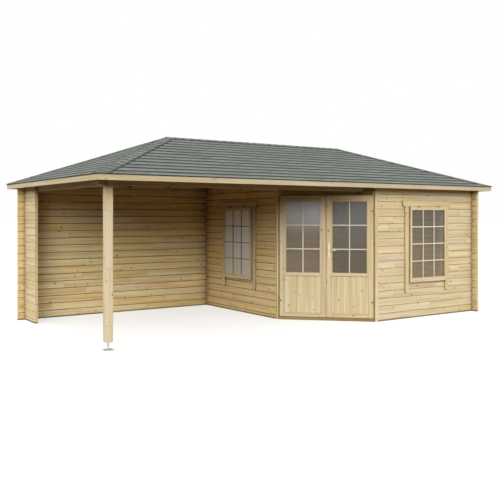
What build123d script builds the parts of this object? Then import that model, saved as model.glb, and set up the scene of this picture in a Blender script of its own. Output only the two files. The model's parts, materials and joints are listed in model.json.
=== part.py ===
from build123d import *

import math
import os

# A corner log cabin with an open canopy beside it, under one hipped roof.
# Lengths are in millimetres. The origin is on the ground at the middle of the roof's plan,
# +X runs along the cabin to the right, +Y to the rear and +Z up.

# Plan, to the outer faces of the log walls
outer_length = 6588
outer_depth = 3262
cabin_length = 3330
return_length = 536

# Logs
log_pitch = 114
log_thickness = 44
groove_depth = 5
groove_half_height = 5
log_end = 107
lap_share = 0.5

# Roof
roof_pitch = 20.25
eave_height = 2092
eave_overhang = 206
board_thickness = 19
shingle_thickness = 9
shingle_drip = 10
cap_thickness = 5
cap_half_width = 75
fascia_height = 72
fascia_thickness = 18
rafter_width = 45
rafter_depth = 95
ridge_width = 45
ridge_depth = 145
ridge_run_on = 60
rafter_gap_share = 0.45
first_rafter_share = 0.91

# Canopy frame
beam_width = 70
beam_underside = 1974
front_beam_inset = 135
front_beam_end = 60
side_beam_end = 40
post_width = 93
post_bevel = 4
foot_height = 100
foot_plate_width = 115
foot_plate_thickness = 8
foot_rod_radius = 9
foot_nut_radius = 17
foot_nut_height = 16
foot_nut_sides = 6
foot_cap_width = 80
foot_cap_thickness = 6
foot_hole_spacing = 85
foot_hole_radius = 5.5

# Corner posts beside the doors
corner_post_face = 40

# Door frame, with the doors standing in its rebate
frame_recess = 20
frame_depth = 60
jamb_width = 38.6
threshold_height = 45
threshold_nose = 12
frame_head_top = 1994

# Doors
doors_width = 1432
door_top = 1917
door_thickness = 40
door_lip = 20
door_lip_thickness = 15
door_gap = 7
swing_clearance = 5
door_outer_stile = 96
door_meeting_stile = 90
door_top_rail = 89
door_glass_bottom = 728
door_panel_top = 686
door_panel_bottom = 100
door_panel_margin = 66
door_panel_thickness = 15

# Glass, in doors and windows
glass_thickness = 4
glass_setback = 14
glass_rebate = 8

# Door hinges
hinge_radius = 7
hinge_pin_radius = 4
hinge_pin_clearance = 0.05
hinge_height = 50
hinge_pin_height = 40
hinge_proud = 4
hinge_offset = 15
hinge_stem_width = 6
hinge_plate_thickness = 3
hinge_plate_length = 45
hinge_plate_height = 26
lower_hinge_level = 280
upper_hinge_level = 1664
hinge_play = 0.3

# Door handles
handle_height = 1080
handle_plate_width = 32
handle_plate_height = 223
handle_plate_thickness = 6
handle_neck_radius = 8
handle_neck_length = 38
handle_lever_length = 120
handle_lever_radius = 9

# Windows
sash_width = 817
sash_bottom = 559
sash_top = 1750
sash_stile = 30
sash_top_rail = 50
sash_bottom_rail = 64
sash_proud = 50
lining_proud = 12
casing_width = 76
casing_gap = 14
casing_thickness = 20
casing_foot = 400
casing_header_height = 88
casing_header_reach = 60
casing_header_thickness = 24
casing_header_round = 36

# Floor of the cabin
floor_board_thickness = 19
floor_bearer_height = 26
floor_bearer_width = 60
floor_bearer_count = 6

# Room left where pieces seat on each other, and the overrun of cuts
seat = 0.2
overrun = 20

# Places that follow from the sizes above
x_right = outer_length / 2
x_left = -x_right
y_rear = outer_depth / 2
y_front = -y_rear
x_cabin = x_right - cabin_length
half_post = log_thickness * math.tan(math.radians(22.5))
jamb_inner = doors_width / 2 - door_lip + swing_clearance
jamb_outer = jamb_inner + jamb_width
diagonal = 2 * (jamb_outer + seat + half_post)
corner_cut = diagonal * math.sqrt(0.5)
x_corner = x_cabin + corner_cut
y_corner = y_front + corner_cut
slope = math.tan(math.radians(roof_pitch))
board_rise = board_thickness / math.cos(math.radians(roof_pitch))
shingle_rise = shingle_thickness / math.cos(math.radians(roof_pitch))
cap_rise = cap_thickness / math.cos(math.radians(roof_pitch))
rafter_rise = rafter_depth / math.cos(math.radians(roof_pitch))
ridge_half = x_right - y_rear
under_boards = -board_rise - seat
door_bottom = threshold_height + swing_clearance


def roof_height(inset, lift):
    """Height of the roof plane, raised by lift, at an inset from a wall's outer face."""
    return eave_height + lift + (eave_overhang + inset) * slope


def block(x0, x1, y0, y1, z0, z1):
    """Box between two corners."""
    return Pos((x0 + x1) / 2, (y0 + y1) / 2, (z0 + z1) / 2) * Box(x1 - x0, y1 - y0, z1 - z0)


def prism(points, bottom, top):
    """Upright prism on a plan outline."""
    return Pos(0, 0, bottom) * extrude(make_face(Polyline(*points, close=True)), top - bottom)


# Roof form
def hip_body(lift, reach):
    """Everything below the hipped roof plane raised by lift, out to a reach past the walls."""
    half_x = x_right + reach
    half_y = y_rear + reach
    eave = roof_height(-reach, lift)
    ridge = roof_height(y_rear, lift)
    across = [(-half_y, 0), (half_y, 0), (half_y, eave), (0, ridge), (-half_y, eave)]
    along = [
        (-half_x, 0),
        (half_x, 0),
        (half_x, eave),
        (ridge_half, ridge),
        (-ridge_half, ridge),
        (-half_x, eave),
    ]
    gable = extrude(Plane.YZ * make_face(Polyline(*across, close=True)), half_x, both=True)
    hipped = extrude(Plane.XZ * make_face(Polyline(*along, close=True)), half_y, both=True)
    return gable & hipped


def hip_layer(low, high, reach):
    """Shell of even thickness that follows the roof."""
    return hip_body(high, reach) - hip_body(low, reach + overrun)


def slope_outlines(reach):
    """Plan outline of each roof slope, cut along the hips."""
    half_x = x_right + reach
    half_y = y_rear + reach
    return {
        "front": [(-half_x, -half_y), (half_x, -half_y), (ridge_half, 0), (-ridge_half, 0)],
        "rear": [(half_x, half_y), (-half_x, half_y), (-ridge_half, 0), (ridge_half, 0)],
        "left": [(-half_x, half_y), (-half_x, -half_y), (-ridge_half, 0)],
        "right": [(half_x, -half_y), (half_x, half_y), (ridge_half, 0)],
    }


roof_top = roof_height(y_rear, shingle_rise + cap_rise) + overrun
under_roof = hip_body(under_boards, eave_overhang)


# Log walls
def log_wall(length, height, first_joint):
    """Stack of logs along +X from the origin, outer face on Y = 0, with a groove at each joint."""
    face = [(0, 0)]
    joint = first_joint
    while joint < height - groove_half_height:
        face.append((0, joint - groove_half_height))
        face.append((groove_depth, joint))
        face.append((0, joint + groove_half_height))
        joint += log_pitch
    face.append((0, height))
    back = [(log_thickness - y, z) for y, z in reversed(face)]
    return extrude(Plane.YZ * make_face(Polyline(*face, *back, close=True)), length)


def lap_notches(x, y, first, height):
    """Cuts that leave a half of each log's height where it laps over a crossing log."""
    wide = log_thickness + 2 * seat
    tall = log_pitch * lap_share + 2 * seat
    cuts = []
    middle = first
    while middle < height + log_pitch:
        cuts.append(Pos(x, y, middle) * Box(wide, wide, tall))
        middle += log_pitch
    return cuts


long_joint = log_pitch
cross_joint = log_pitch / 2
plate_height = roof_height(log_thickness, under_boards)
gable_height = roof_height(y_rear, under_boards)
mid_log = log_thickness / 2
return_crossing = (x_left + mid_log, y_rear - mid_log)
cabin_crossing = (x_cabin + mid_log, y_rear - mid_log)
rear_crossing = (x_right - mid_log, y_rear - mid_log)
front_crossing = (x_right - mid_log, y_front + mid_log)


def laid_wall(place, length, height, first_joint, crossings, first_notch):
    """Log wall set in place, lapped at its crossings and cut to the roof."""
    wall = place * log_wall(length, height, first_joint)
    for x, y in crossings:
        wall = wall - lap_notches(x, y, first_notch, height)
    return wall & under_roof


def place_at(x, y, turn):
    """Place on the ground, turned about the upright axis."""
    return Location((x, y, 0), (0, 0, turn))


rear_place = place_at(x_right + log_end, y_rear, 180)
rear_length = outer_length + 2 * log_end
rear_crossings = [return_crossing, cabin_crossing, rear_crossing]
rear_wall = laid_wall(rear_place, rear_length, plate_height, long_joint, rear_crossings, 0)

return_place = place_at(x_left, y_rear + log_end, -90)
end_return_length = return_length + log_end
end_return_wall = laid_wall(
    return_place, end_return_length, plate_height, cross_joint, [return_crossing], cross_joint
)

cabin_left_place = place_at(x_cabin, y_rear + log_end, -90)
cabin_left_length = y_rear + log_end - y_corner - corner_post_face - seat
cabin_left_wall = laid_wall(
    cabin_left_place, cabin_left_length, gable_height, cross_joint, [cabin_crossing], cross_joint
)

cabin_front_place = place_at(x_corner + corner_post_face + seat, y_front, 0)
cabin_front_length = x_right + log_end - x_corner - corner_post_face - seat
cabin_front_wall = laid_wall(
    cabin_front_place, cabin_front_length, plate_height, long_joint, [front_crossing], 0
)

cabin_right_place = place_at(x_right, y_front - log_end, 90)
cabin_right_length = outer_depth + 2 * log_end
right_crossings = [front_crossing, rear_crossing]
cabin_right_wall = laid_wall(
    cabin_right_place, cabin_right_length, plate_height, cross_joint, right_crossings, cross_joint
)

# The wall over the doors, on the cut corner; its own X runs from the left corner to the front one
door_place = place_at(x_cabin, y_corner, -45)
door_middle = door_place * Pos(diagonal / 2, 0, 0)
header_end = half_post + seat
header_length = diagonal - 2 * header_end
header_stock = door_place * Pos(header_end, 0, 0) * log_wall(header_length, gable_height, long_joint)
below_header = door_place * block(
    -overrun, diagonal + overrun, -overrun, log_thickness + overrun, -overrun, frame_head_top + seat
)
door_header_wall = (header_stock - below_header) & under_roof


# Corner posts, folded round the two ends of the cut corner
def corner_post(hand):
    """Post at the origin's corner: its door side on +X, its wall side folded back by 45 degrees."""
    away = corner_post_face * math.sqrt(0.5)
    deep = log_thickness * math.sqrt(0.5)
    outline = [
        (0, 0),
        (half_post, 0),
        (half_post, log_thickness),
        (deep - away, away + deep),
        (-away, away),
    ]
    return prism([(hand * x, y) for x, y in outline], 0, gable_height)


corner_posts = Compound(
    children=[
        (door_place * corner_post(1)) & under_roof,
        (door_place * Pos(diagonal, 0, 0) * corner_post(-1)) & under_roof,
    ]
)

# Door frame, in the doors' own frame: X along the doors from their middle, Y inwards
frame_back = frame_recess + frame_depth
head_underside = door_top - door_lip + swing_clearance
jamb_foot = threshold_height + seat
door_jambs = Compound(
    children=[
        door_middle * block(x0, x1, frame_recess, frame_back, jamb_foot, frame_head_top)
        for x0, x1 in ((-jamb_outer, -jamb_inner), (jamb_inner, jamb_outer))
    ]
)
door_head = door_middle * block(
    -jamb_inner + seat, jamb_inner - seat, frame_recess, frame_back, head_underside, frame_head_top
)
door_threshold = door_middle * block(
    -jamb_outer, jamb_outer, -threshold_nose, frame_back, 0, threshold_height
)


# Doors: each is drawn as the right-hand leaf and mirrored by hand
leaf_inner = door_gap / 2
leaf_outer = doors_width / 2
body_outer = leaf_outer - door_lip
body_top = door_top - door_lip
glass_inner = leaf_inner + door_meeting_stile
glass_outer = leaf_outer - door_outer_stile
glass_top = door_top - door_top_rail
panel_inner = leaf_inner + door_panel_margin
panel_outer = leaf_outer - door_panel_margin
rebate_back = door_thickness + overrun


def handed(hand, x0, x1, y0, y1, z0, z1):
    """Block on the right-hand leaf, or its mirror image on the left-hand one."""
    low, high = sorted((hand * x0, hand * x1))
    return door_middle * block(low, high, y0, y1, z0, z1)


def door_frame(hand):
    """Stiles and rails of one leaf, with a lip that laps over the frame and rebates behind its openings."""
    body = handed(hand, leaf_inner, body_outer, 0, door_thickness, door_bottom, body_top)
    lip = handed(hand, leaf_inner, leaf_outer, 0, door_lip_thickness, door_bottom, door_top)
    sight = handed(hand, glass_inner, glass_outer, -overrun, rebate_back, door_glass_bottom, glass_top)
    light = handed(
        hand,
        glass_inner - glass_rebate,
        glass_outer + glass_rebate,
        glass_setback,
        rebate_back,
        door_glass_bottom - glass_rebate,
        glass_top + glass_rebate,
    )
    field = handed(hand, panel_inner, panel_outer, -overrun, rebate_back, door_panel_bottom, door_panel_top)
    return body + lip - [sight, light, field]


def door_glass(hand):
    """Pane in the rebate behind a leaf's upper opening."""
    return handed(
        hand,
        glass_inner - glass_rebate + seat,
        glass_outer + glass_rebate - seat,
        glass_setback + seat,
        glass_setback + seat + glass_thickness,
        door_glass_bottom - glass_rebate + seat,
        glass_top + glass_rebate - seat,
    )


def door_panel(hand):
    """Panel that fills a leaf's lower opening."""
    front = (door_thickness - door_panel_thickness) / 2
    return handed(
        hand,
        panel_inner + seat,
        panel_outer - seat,
        front,
        front + door_panel_thickness,
        door_panel_bottom + seat,
        door_panel_top - seat,
    )


# Hinges: the pin and lower barrel screw into the jamb, the upper barrel turns with the leaf
hinge_line = leaf_outer + hinge_offset
hinge_levels = (lower_hinge_level, upper_hinge_level)


def frame_hinge(hand, level):
    """Lower barrel with its pin, on a flat stem to the jamb."""
    axis = door_middle * Pos(hand * hinge_line, -hinge_proud, level)
    barrel = axis * Cylinder(hinge_radius, hinge_height, align=(Align.CENTER, Align.CENTER, Align.MAX))
    pin = axis * Cylinder(hinge_pin_radius, hinge_pin_height, align=(Align.CENTER, Align.CENTER, Align.MIN))
    stem = handed(
        hand,
        hinge_line - hinge_stem_width / 2,
        hinge_line + hinge_stem_width / 2,
        -hinge_proud,
        frame_recess - seat,
        level - hinge_height,
        level,
    )
    return barrel + pin + stem


def leaf_hinge(hand, level):
    """Upper barrel, bored for the pin, on a plate along the leaf's face."""
    axis = door_middle * Pos(hand * hinge_line, -hinge_proud, level + hinge_play)
    barrel = axis * Cylinder(hinge_radius, hinge_height, align=(Align.CENTER, Align.CENTER, Align.MIN))
    plate = handed(
        hand,
        hinge_line - hinge_plate_length,
        hinge_line,
        -seat - hinge_plate_thickness,
        -seat,
        level + hinge_play,
        level + hinge_play + hinge_plate_height,
    )
    bore = axis * Cylinder(
        hinge_pin_radius + hinge_pin_clearance, hinge_height, align=(Align.CENTER, Align.CENTER, Align.MIN)
    )
    return barrel + plate - bore


frame_hinges = Compound(children=[frame_hinge(hand, level) for hand in (-1, 1) for level in hinge_levels])


# Handles on the right-hand leaf, one on each face, with levers that point to the hinges
def lever_handle(outwards):
    """Long plate with a neck and a lever, on the outer face (-1) or the inner one (1)."""
    face = -seat if outwards < 0 else door_thickness + seat
    centre = leaf_inner + door_meeting_stile / 2
    plate = block(
        centre - handle_plate_width / 2,
        centre + handle_plate_width / 2,
        *sorted((face, face + outwards * handle_plate_thickness)),
        handle_height - handle_plate_height / 2,
        handle_height + handle_plate_height / 2,
    )
    reach = handle_plate_thickness + handle_neck_length
    neck = (
        Pos(centre, face, handle_height)
        * Rot(-90 * outwards, 0, 0)
        * Cylinder(handle_neck_radius, reach, align=(Align.CENTER, Align.CENTER, Align.MIN))
    )
    lever = (
        Pos(centre - handle_lever_radius, face + outwards * reach, handle_height)
        * Rot(0, 90, 0)
        * Cylinder(handle_lever_radius, handle_lever_length, align=(Align.CENTER, Align.CENTER, Align.MIN))
    )
    return door_middle * (plate + neck + lever)


door_handles = Compound(children=[lever_handle(-1), lever_handle(1)])


# Windows, in their wall's own frame: X along the wall from the window's middle, Y inwards
half_sash = sash_width / 2
sight_half = half_sash - sash_stile
sight_bottom = sash_bottom + sash_bottom_rail
sight_top = sash_top - sash_top_rail


def window_cut(place):
    """Cut through the logs for one window."""
    return place * block(
        -half_sash - seat,
        half_sash + seat,
        -overrun,
        log_thickness + overrun,
        sash_bottom - seat,
        sash_top + seat,
    )


def window_sight(depth, margin):
    """Opening of a window from a depth inwards, widened by a margin."""
    return block(
        -sight_half - margin,
        sight_half + margin,
        depth,
        log_thickness + lining_proud + overrun,
        sight_bottom - margin,
        sight_top + margin,
    )


def window_lining(place):
    """Fixed frame that lines the cut in the logs."""
    frame = block(-half_sash, half_sash, 0, log_thickness + lining_proud, sash_bottom, sash_top)
    return place * (frame - window_sight(-overrun, 0))


def window_sash(place):
    """Sash on the outside of the wall, rebated for the glass from behind."""
    frame = block(-half_sash, half_sash, -sash_proud, -seat, sash_bottom, sash_top)
    sight = window_sight(-sash_proud - overrun, 0)
    rebate = window_sight(glass_setback - sash_proud, glass_rebate)
    return place * (frame - [sight, rebate])


def window_glass(place):
    """Pane in the rebate behind the sash."""
    front = glass_setback - sash_proud + seat
    wide = sight_half + glass_rebate - seat
    return place * block(
        -wide,
        wide,
        front,
        front + glass_thickness,
        sight_bottom - glass_rebate + seat,
        sight_top + glass_rebate - seat,
    )


def window_casing(place):
    """Two boards with rounded feet and a header with rounded lower corners."""
    inner = half_sash + casing_gap
    outer = inner + casing_width
    header_half = outer + casing_header_reach
    header_bottom = sash_top + seat
    header_top = header_bottom + casing_header_height
    foot_bend = casing_foot + casing_width / 2
    board_top = header_bottom - seat
    boards = []
    for hand in (-1, 1):
        foot = (hand * (inner + outer) / 2, casing_foot)
        side = [
            Line((hand * inner, foot_bend), (hand * inner, board_top)),
            Line((hand * inner, board_top), (hand * outer, board_top)),
            Line((hand * outer, board_top), (hand * outer, foot_bend)),
            ThreePointArc((hand * outer, foot_bend), foot, (hand * inner, foot_bend)),
        ]
        boards.append(extrude(Plane.XZ * make_face(side), casing_thickness))
    bend = casing_header_round * (1 - math.sqrt(0.5))
    end = header_half - casing_header_round
    bend_x = header_half - bend
    bend_z = header_bottom + bend
    bend_top = header_bottom + casing_header_round
    header = [
        Line((-end, header_bottom), (end, header_bottom)),
        ThreePointArc((end, header_bottom), (bend_x, bend_z), (header_half, bend_top)),
        Line((header_half, bend_top), (header_half, header_top)),
        Line((header_half, header_top), (-header_half, header_top)),
        Line((-header_half, header_top), (-header_half, bend_top)),
        ThreePointArc((-header_half, bend_top), (-bend_x, bend_z), (-end, header_bottom)),
    ]
    boards.append(extrude(Plane.XZ * make_face(header), casing_header_thickness))
    return place * Pos(0, -seat, 0) * Compound(children=boards)


front_window_place = place_at((x_corner + x_right - log_thickness) / 2, y_front, 0)
side_window_place = place_at(x_cabin, (y_corner + y_rear - log_thickness) / 2, -90)
cabin_front_wall = cabin_front_wall - window_cut(front_window_place)
cabin_left_wall = cabin_left_wall - window_cut(side_window_place)

# Canopy post and its adjustable steel foot
post_x = x_left + log_thickness + seat + beam_width / 2
post_y = y_front + front_beam_inset + beam_width / 2
post = Pos(post_x, post_y, (foot_height + beam_underside - seat) / 2) * Box(
    post_width, post_width, beam_underside - seat - foot_height
)
canopy_post = chamfer(post.edges().filter_by(Axis.Z), post_bevel)


def standing(bottom, top, radius):
    """Upright round bar between two heights."""
    return Pos(0, 0, bottom) * Cylinder(radius, top - bottom, align=(Align.CENTER, Align.CENTER, Align.MIN))


def foot_plate(width, bottom, top):
    """Square plate of the foot between two heights."""
    return block(-width / 2, width / 2, -width / 2, width / 2, bottom, top)


foot_top = foot_height - seat
rod_top = foot_top - foot_cap_thickness
nut_bottom = (foot_plate_thickness + rod_top) / 2
foot = foot_plate(foot_plate_width, 0, foot_plate_thickness)
foot += standing(foot_plate_thickness, rod_top, foot_rod_radius)
foot += Pos(0, 0, nut_bottom) * extrude(RegularPolygon(foot_nut_radius, foot_nut_sides), foot_nut_height)
foot += foot_plate(foot_cap_width, rod_top, foot_top)
foot -= [
    place * standing(-overrun, foot_plate_thickness + overrun, foot_hole_radius)
    for place in GridLocations(foot_hole_spacing, foot_hole_spacing, 2, 2)
]
post_foot = Pos(post_x, post_y, 0) * foot

# Canopy beams, halved into each other over the post and cut to the roof
front_beam_face = y_front + front_beam_inset
front_beam_back = front_beam_face + beam_width
side_beam_face = x_left + log_thickness + seat
side_beam_back = side_beam_face + beam_width
lap_height = (beam_underside + roof_height(front_beam_inset, under_boards)) / 2
beam_lap = (side_beam_face - seat, side_beam_back + seat, front_beam_face - seat, front_beam_back + seat)
front_beam_stock = block(
    x_left - front_beam_end, x_corner, front_beam_face, front_beam_back, beam_underside, gable_height
)
inside_doors = door_place * block(-outer_length, outer_length, -seat, outer_length, 0, roof_top)
front_beam = (front_beam_stock - block(*beam_lap, 0, lap_height + seat) - inside_doors) & under_roof
side_beam_front = front_beam_face - side_beam_end
rear_inside = y_rear - log_thickness - seat
side_beam_stock = block(
    side_beam_face, side_beam_back, side_beam_front, rear_inside, beam_underside, gable_height
)
side_beam = (side_beam_stock - block(*beam_lap, lap_height, roof_top)) & under_roof

# Ridge beam, let into the wall between cabin and canopy
ridge_underside = gable_height - ridge_depth
ridge_reach = ridge_half + ridge_run_on
ridge_side = ridge_width / 2
ridge_stock = block(-ridge_reach, ridge_reach, -ridge_side, ridge_side, ridge_underside, gable_height)
ridge_beam = ridge_stock & under_roof
cabin_left_wall = cabin_left_wall - block(
    x_cabin - overrun,
    x_cabin + log_thickness + overrun,
    -ridge_side - seat,
    ridge_side + seat,
    ridge_underside - seat,
    roof_top,
)

# Rafters hang under the boards, from the ridge to the wall or beam at the eave
rafter_layer = hip_layer(under_boards - rafter_rise, under_boards, 0)
rafter_half = rafter_width / 2
canopy_front = front_beam_back + seat
cabin_front = y_front + log_thickness + seat
canopy_left = side_beam_back + seat
cabin_right = x_right - log_thickness - seat
ridge_clear = ridge_side + seat


def hip_rafter(side_x, side_y, front_limit):
    """Rafter under one hip, stopped at the ridge's side and inside the walls or beams."""
    run = y_rear * math.sqrt(2)
    turn = math.degrees(math.atan2(-side_y, -side_x))
    corner = place_at(side_x * x_right, side_y * y_rear, turn)
    strip = corner * block(0, run, -rafter_half, rafter_half, 0, roof_top)
    low, high = (front_limit, -ridge_clear) if side_y < 0 else (ridge_clear, rear_inside)
    room = block(canopy_left, cabin_right, low, high, 0, roof_top)
    return strip & room & rafter_layer


def common_rafter(x, low, high):
    """Rafter square to the ridge."""
    return block(x - rafter_half, x + rafter_half, low, high, 0, roof_top) & rafter_layer


outer_rafter = ridge_half * first_rafter_share
inner_rafter = ridge_half * rafter_gap_share
rear_rafters = [
    common_rafter(x, ridge_clear, rear_inside)
    for x in (-outer_rafter, -inner_rafter, inner_rafter, outer_rafter)
]
rafters = Compound(
    children=[
        hip_rafter(-1, -1, canopy_front),
        hip_rafter(1, -1, cabin_front),
        hip_rafter(-1, 1, canopy_front),
        hip_rafter(1, 1, cabin_front),
        common_rafter(-outer_rafter, canopy_front, -ridge_clear),
        common_rafter(-inner_rafter, canopy_front, -ridge_clear),
        common_rafter(outer_rafter, cabin_front, -ridge_clear),
        *rear_rafters,
        block(canopy_left, -ridge_reach - seat, -rafter_half, rafter_half, 0, roof_top) & rafter_layer,
        block(ridge_reach + seat, cabin_right, -rafter_half, rafter_half, 0, roof_top) & rafter_layer,
    ]
)

# Roof boards, shingles, caps and fascia
board_reach = eave_overhang - fascia_thickness - seat
shingle_reach = eave_overhang + shingle_drip
board_layer = hip_layer(-board_rise, 0, board_reach)
shingle_layer = hip_layer(seat, shingle_rise, shingle_reach)
fascia_layer = hip_body(0, eave_overhang) - block(
    x_left - board_reach - seat,
    x_right + board_reach + seat,
    y_front - board_reach - seat,
    y_rear + board_reach + seat,
    0,
    roof_top,
)
board_outlines = slope_outlines(board_reach)
shingle_outlines = slope_outlines(shingle_reach)
fascia_outlines = slope_outlines(eave_overhang)
fascia_bottom = eave_height - fascia_height
roof_boards = {side: board_layer & prism(outline, 0, roof_top) for side, outline in board_outlines.items()}
shingles = {side: shingle_layer & prism(outline, 0, roof_top) for side, outline in shingle_outlines.items()}
fascia_boards = {
    side: fascia_layer & prism(outline, fascia_bottom, roof_top)
    for side, outline in fascia_outlines.items()
}

cap_layer = hip_layer(shingle_rise + seat, shingle_rise + seat + cap_rise, shingle_reach)
cap_run = (y_rear + shingle_reach) * math.sqrt(2)
cap_strips = block(-ridge_half, ridge_half, -cap_half_width, cap_half_width, 0, roof_top)
for turn, end in ((45, ridge_half), (-45, ridge_half), (135, -ridge_half), (-135, -ridge_half)):
    cap_strips += place_at(end, 0, turn) * block(0, cap_run, -cap_half_width, cap_half_width, 0, roof_top)
ridge_and_hip_caps = cap_layer & cap_strips

# Floor of the cabin, cut to the walls and the door frame
door_clear = (frame_back + seat) * math.sqrt(2)
floor_left = x_cabin + log_thickness + seat
floor_front = y_front + log_thickness + seat
floor_cut = x_cabin + y_corner + door_clear
floor_outline = [
    (floor_cut - floor_front, floor_front),
    (cabin_right, floor_front),
    (cabin_right, rear_inside),
    (floor_left, rear_inside),
    (floor_left, floor_cut - floor_left),
]
floor_top = floor_bearer_height + floor_board_thickness
floor_boards = prism(floor_outline, floor_bearer_height + seat, floor_top)
bearer_pitch = (cabin_right - floor_left - floor_bearer_width) / (floor_bearer_count - 1)
bearer_room = prism(floor_outline, 0, floor_bearer_height)
bearers = []
for index in range(floor_bearer_count):
    bearer_left = floor_left + index * bearer_pitch
    strip = block(bearer_left, bearer_left + floor_bearer_width, y_front, y_rear, 0, floor_bearer_height)
    bearers.append(strip & bearer_room)
floor_bearers = Compound(children=bearers)

# Nodes
nodes = {
    "rear_wall": rear_wall,
    "end_return_wall": end_return_wall,
    "cabin_left_wall": cabin_left_wall,
    "cabin_front_wall": cabin_front_wall,
    "cabin_right_wall": cabin_right_wall,
    "door_header_wall": door_header_wall,
    "corner_posts": corner_posts,
    "door_jambs": door_jambs,
    "door_head": door_head,
    "door_threshold": door_threshold,
    "frame_hinges": frame_hinges,
    "door_handles": door_handles,
    "canopy_post": canopy_post,
    "post_foot": post_foot,
    "front_beam": front_beam,
    "side_beam": side_beam,
    "ridge_beam": ridge_beam,
    "rafters": rafters,
    "ridge_and_hip_caps": ridge_and_hip_caps,
    "floor_boards": floor_boards,
    "floor_bearers": floor_bearers,
}
for name, hand in (("left", -1), ("right", 1)):
    nodes[f"{name}_door_frame"] = door_frame(hand)
    nodes[f"{name}_door_glass"] = door_glass(hand)
    nodes[f"{name}_door_panel"] = door_panel(hand)
    nodes[f"{name}_door_hinges"] = Compound(children=[leaf_hinge(hand, level) for level in hinge_levels])
for name, place in (("front", front_window_place), ("side", side_window_place)):
    nodes[f"{name}_window_lining"] = window_lining(place)
    nodes[f"{name}_window_sash"] = window_sash(place)
    nodes[f"{name}_window_glass"] = window_glass(place)
    nodes[f"{name}_window_casing"] = window_casing(place)
for side in slope_outlines(0):
    nodes[f"{side}_roof_boards"] = roof_boards[side]
    nodes[f"{side}_shingles"] = shingles[side]
    nodes[f"{side}_fascia"] = fascia_boards[side]

os.makedirs("parts", exist_ok=True)
for name, shape in nodes.items():
    export_step(shape, f"parts/{name}.step")
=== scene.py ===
"""A corner log cabin with an open canopy under one hipped roof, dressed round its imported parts.

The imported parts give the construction. This script adds the shingles, boards, bars, beads and
fittings, and gives every surface its finish. Lengths are in metres.
"""

import json
import logging
import math
from contextlib import contextmanager
from dataclasses import dataclass
from enum import Enum
from typing import Callable, Iterator, Sequence

import bmesh
import bpy
import numpy as np
from mathutils import Matrix, Vector

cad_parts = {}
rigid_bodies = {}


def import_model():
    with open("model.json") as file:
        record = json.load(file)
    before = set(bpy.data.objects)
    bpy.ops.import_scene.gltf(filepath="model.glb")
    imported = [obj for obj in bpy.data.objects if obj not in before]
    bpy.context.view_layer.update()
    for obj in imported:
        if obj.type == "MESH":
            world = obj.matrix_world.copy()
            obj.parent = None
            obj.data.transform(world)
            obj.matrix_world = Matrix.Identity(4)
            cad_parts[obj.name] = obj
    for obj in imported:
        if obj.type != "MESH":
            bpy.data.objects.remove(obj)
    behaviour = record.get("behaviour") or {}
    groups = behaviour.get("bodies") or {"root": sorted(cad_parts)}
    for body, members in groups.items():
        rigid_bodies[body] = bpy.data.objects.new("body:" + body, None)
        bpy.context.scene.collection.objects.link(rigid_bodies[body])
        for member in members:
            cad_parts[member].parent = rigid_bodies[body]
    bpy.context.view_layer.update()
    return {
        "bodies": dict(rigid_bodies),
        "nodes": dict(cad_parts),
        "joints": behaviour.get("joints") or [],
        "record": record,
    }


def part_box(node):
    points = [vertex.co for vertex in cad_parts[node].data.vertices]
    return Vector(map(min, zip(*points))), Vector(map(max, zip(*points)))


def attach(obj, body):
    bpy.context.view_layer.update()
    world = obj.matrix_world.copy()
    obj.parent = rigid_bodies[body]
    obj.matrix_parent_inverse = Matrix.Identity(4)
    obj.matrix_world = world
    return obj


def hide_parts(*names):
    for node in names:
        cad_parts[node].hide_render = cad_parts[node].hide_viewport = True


log = logging.getLogger("log_cabin")
Pair = tuple[float, float]
Triple = tuple[float, float, float]
Colour = tuple[float, float, float, float]
Socket = bpy.types.NodeSocket
Piece = bpy.types.Object
Material = bpy.types.Material


def srgb(red: int, green: int, blue: int) -> Colour:
    """Linear colour of a display colour.

    Args:
        red, green, blue: display values from 0 to 255.

    Returns:
        The linear colour with full alpha.
    """
    shares = [value / 255 for value in (red, green, blue)]
    linear = [s / 12.92 if s <= 0.04045 else ((s + 0.055) / 1.055) ** 2.4 for s in shares]
    return (*linear, 1.0)


def shades(pale: Sequence[int], deep: Sequence[int], **others: object) -> dict[str, object]:
    """Settings of a timber's two main colours, from display values, and any others."""
    return {"pale": srgb(*pale), "deep": srgb(*deep), **others}


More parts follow.
